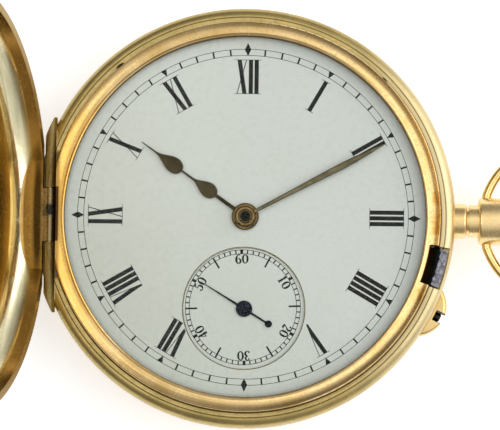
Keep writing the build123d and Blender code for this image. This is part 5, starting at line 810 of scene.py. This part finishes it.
def height_of(node):
    """Where a CAD hand lies: its bottom and its thickness."""
    low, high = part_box(node)
    return low.z / MM, (high.z - low.z) / MM


def swing(bm, angle, centre=(0.0, 0.0)):
    """What has been modelled along X turns to its angle on the dial."""
    matrix = Matrix.Translation((*centre, 0)) @ Matrix.Rotation(math.radians(angle), 4, "Z")
    bmesh.ops.transform(bm, matrix=matrix, verts=bm.verts)


def blade(bm, stations, bottom, rise, around):
    """A hand's blade along X with a rounded top: stations are (x, half width, height share)."""
    rows = []
    for x, half, share in stations:
        arch = [(half * math.cos(math.pi * k / around), rise * share * (0.35 + 0.65 * math.sin(math.pi * k / around)))
                for k in range(around + 1)]
        rows.append([bm.verts.new((x, y, bottom + z)) for y, z in arch + [(-half, 0.0), (half, 0.0)]])
    bridge(bm, rows)
    close_ends(bm, rows)


def pear(start, widest, end, width, shaft, tip):
    """Stations of one pear: round towards the hub, drawn out to a point."""
    stations = []
    for a in [math.pi / 2 * i / 10 for i in range(11)]:
        stations.append((start + (widest - start) * (1 - math.cos(a)), shaft + (width - shaft) * math.sin(a), 1.0))
    for t in [i / 14 for i in range(1, 15)]:
        share = (0.5 + 0.5 * math.cos(math.pi * t)) ** 1.05
        stations.append((widest + (end - widest) * t, tip + (width - tip) * share, 1.0))
    return stations


def hour_hand():
    bm = bmesh.new()
    bottom, rise = height_of("hour_hand")
    stations = [(1.3, 0.23, 0.8), (4.25, 0.2, 0.8), *pear(4.3, 5.35, 7.75, 0.9, 0.14, 0.13),
                (9.2, 0.12, 0.8), *pear(9.3, 10.4, 13.2, 0.92, 0.11, 0.1), (15.15, 0.05, 0.6)]
    blade(bm, stations, bottom, rise, 12)
    swing(bm, HOUR_ANGLE)
    turned(bm, [(1.17, 0), (1.5, 0), (1.59, 0.04), (1.6, 0.1), (1.55, 0.15), (1.44, 0.15), (1.38, 0.11),
                (1.3, 0.11), (1.26, 0.15), (1.17, 0.15)], bottom)
    return bm


def minute_hand():
    bm = bmesh.new()
    bottom, rise = height_of("minute_hand")
    stations = [(0.9, 0.21, 1.0), (4.0, 0.24, 1.0), (8.0, 0.31, 1.0), (11.5, 0.39, 1.0), (13.2, 0.4, 1.0),
                (15.0, 0.33, 1.0), (17.0, 0.2, 0.9), (18.4, 0.09, 0.7), (18.78, 0.05, 0.5)]
    blade(bm, stations, bottom, rise, 8)
    swing(bm, MINUTE_ANGLE)
    turned(bm, [(0.53, 0), (1.06, 0), (1.14, 0.03), (1.15, 0.08), (1.09, 0.13), (0.98, 0.13), (0.93, 0.09),
                (0.84, 0.09), (0.79, 0.13), (0.62, 0.13), (0.53, 0.08)], bottom)
    return bm


def seconds_hand():
    """A thin pointer, its tail, the hub and the round end of the tail."""
    bm = bmesh.new()
    bottom, rise = height_of("seconds_hand")
    blade(bm, [(0.7, 0.14, 1.0), (2.5, 0.1, 1.0), (4.5, 0.065, 0.9), (6.02, 0.03, 0.7)], bottom, rise, 6)
    blade(bm, [(-3.1, 0.1, 1.0), (-0.7, 0.13, 1.0)], bottom, rise, 6)
    for x, r in ((0.0, 0.97), (-3.4, 0.42)):
        turned_cap(bm, [(0, bottom), (r - 0.03, bottom), (r, bottom + rise * 0.4), (r - 0.03, bottom + rise * 0.8),
                        (r * 0.8, bottom + rise), (0, bottom + rise)], x)
    swing(bm, SECONDS_ANGLE, SECONDS_CENTRE)
    return bm


new_piece("hour_hand_domed", hour_hand(), bronze, "hour_pipe", ("hour_hand",))
new_piece("minute_hand_domed", minute_hand(), olive_bronze, "center_arbor", ("minute_hand",))
new_piece("seconds_hand_round", seconds_hand(), blued, "fourth_arbor", ("seconds_hand",))


# ---------------------------------------------------------------- floor, light and camera, in metres
def floor():
    """Paper that shows white round the watch and greyer far away, and keeps the watch's shadow."""
    bpy.ops.mesh.primitive_plane_add(size=3.0, location=(0, 0, -0.00005))
    obj = bpy.context.object
    obj.name = "floor"
    mat, tree, shader = material("pale_floor")
    vector = object_mm(tree)
    paper = mix_colour(tree, noise(tree, vector, 0.02, 3.0), (0.82, 0.82, 0.82), (0.86, 0.86, 0.86))
    radius, turn, height = cylinder_coords(tree, vector)
    away = span(tree, radius, 0.0, 1.0, 70.0, 320.0)
    tree.links.new(mix_colour(tree, away, paper, (0.42, 0.42, 0.42)), shader.inputs["Base Color"])
    shader.inputs["Roughness"].default_value = 0.9
    path = tree.nodes.new("ShaderNodeLightPath")
    seen = maths(tree, "MAXIMUM", path.outputs["Is Camera Ray"],
                 maths(tree, "MAXIMUM", path.outputs["Is Glossy Ray"], path.outputs["Is Transmission Ray"]))
    glow = tree.nodes.new("ShaderNodeEmission")
    glow.inputs["Strength"].default_value = 0.5
    tree.links.new(mix_colour(tree, away, (1.0, 1.0, 1.0), (0.2, 0.2, 0.2)), glow.inputs["Color"])
    join = tree.nodes.new("ShaderNodeAddShader")
    mix = tree.nodes.new("ShaderNodeMixShader")
    tree.links.new(shader.outputs["BSDF"], join.inputs[0])
    tree.links.new(glow.outputs["Emission"], join.inputs[1])
    tree.links.new(seen, mix.inputs["Fac"])
    tree.links.new(shader.outputs["BSDF"], mix.inputs[1])
    tree.links.new(join.outputs["Shader"], mix.inputs[2])
    tree.links.new(mix.outputs["Shader"], tree.nodes["Material Output"].inputs["Surface"])
    obj.data.materials.append(mat)


def studio():
    """A room that is dark on the left, bright on the right and pale overhead, with darker patches."""
    world = bpy.data.worlds.new("studio")
    bpy.context.scene.world = world
    world.use_nodes = True
    tree = world.node_tree
    background = tree.nodes["Background"]
    background.inputs["Strength"].default_value = 1.0
    way = tree.nodes.new("ShaderNodeTexCoord").outputs["Generated"]
    x, y, z = axes(tree, way)
    side = ramp(tree, span(tree, x, 0.0, 1.0, -1.0, 1.0),
                [(0.0, (0.17, 0.16, 0.15)), (0.45, (0.22, 0.215, 0.21)), (0.66, (0.46, 0.46, 0.45)),
                 (0.88, (0.95, 0.95, 0.95))])
    patches = span(tree, noise(tree, way, 2.2, 1.5), 0.0, 0.45, 0.45, 0.6)
    side = mix_colour(tree, patches, side, (0.10, 0.095, 0.09))
    sky = mix_colour(tree, span(tree, z, 0.0, 1.0, 0.55, 0.93), side, (0.86, 0.86, 0.86))
    tree.links.new(sky, background.inputs["Color"])


def lamp(name, place, size, power):
    """A square area lamp that aims at the watch."""
    data = bpy.data.lights.new(name, "AREA")
    data.shape = "RECTANGLE"
    data.size, data.size_y = size, size
    data.energy = power
    obj = bpy.data.objects.new(name, data)
    bpy.context.scene.collection.objects.link(obj)
    obj.location = place
    obj.rotation_euler = (-Vector(place)).to_track_quat("-Z", "Y").to_euler()


CAMERA_TILT, CAMERA_ROLL = math.radians(4.5), math.radians(0.7)
CAMERA_DISTANCE, CAMERA_LENS = 0.5, 302.0
CAMERA_TARGET = Vector((0.57 * MM, 0.38 * MM, 7.0 * MM))


def photo_camera():
    data = bpy.data.cameras.new("camera")
    data.lens = CAMERA_LENS
    data.sensor_width = 36.0
    data.clip_end = 10.0
    camera = bpy.data.objects.new("camera", data)
    bpy.context.scene.collection.objects.link(camera)
    back = Vector((0.0, -math.sin(CAMERA_TILT), math.cos(CAMERA_TILT)))
    across = Vector((1.0, 0.0, 0.0))
    turn = Matrix((across, back.cross(across), back)).transposed().to_4x4() @ Matrix.Rotation(CAMERA_ROLL, 4, "Z")
    camera.matrix_world = Matrix.Translation(CAMERA_TARGET + back * CAMERA_DISTANCE) @ turn
    bpy.context.scene.camera = camera


floor()
studio()
lamp("softbox_right", (1.05, 0.2, 0.95), 1.6, 8.6)
lamp("softbox_left", (-0.6, 0.15, 1.45), 1.1, 3.4)
photo_camera()
bpy.context.scene.view_settings.view_transform = "Standard"

bpy.context.view_layer.update()
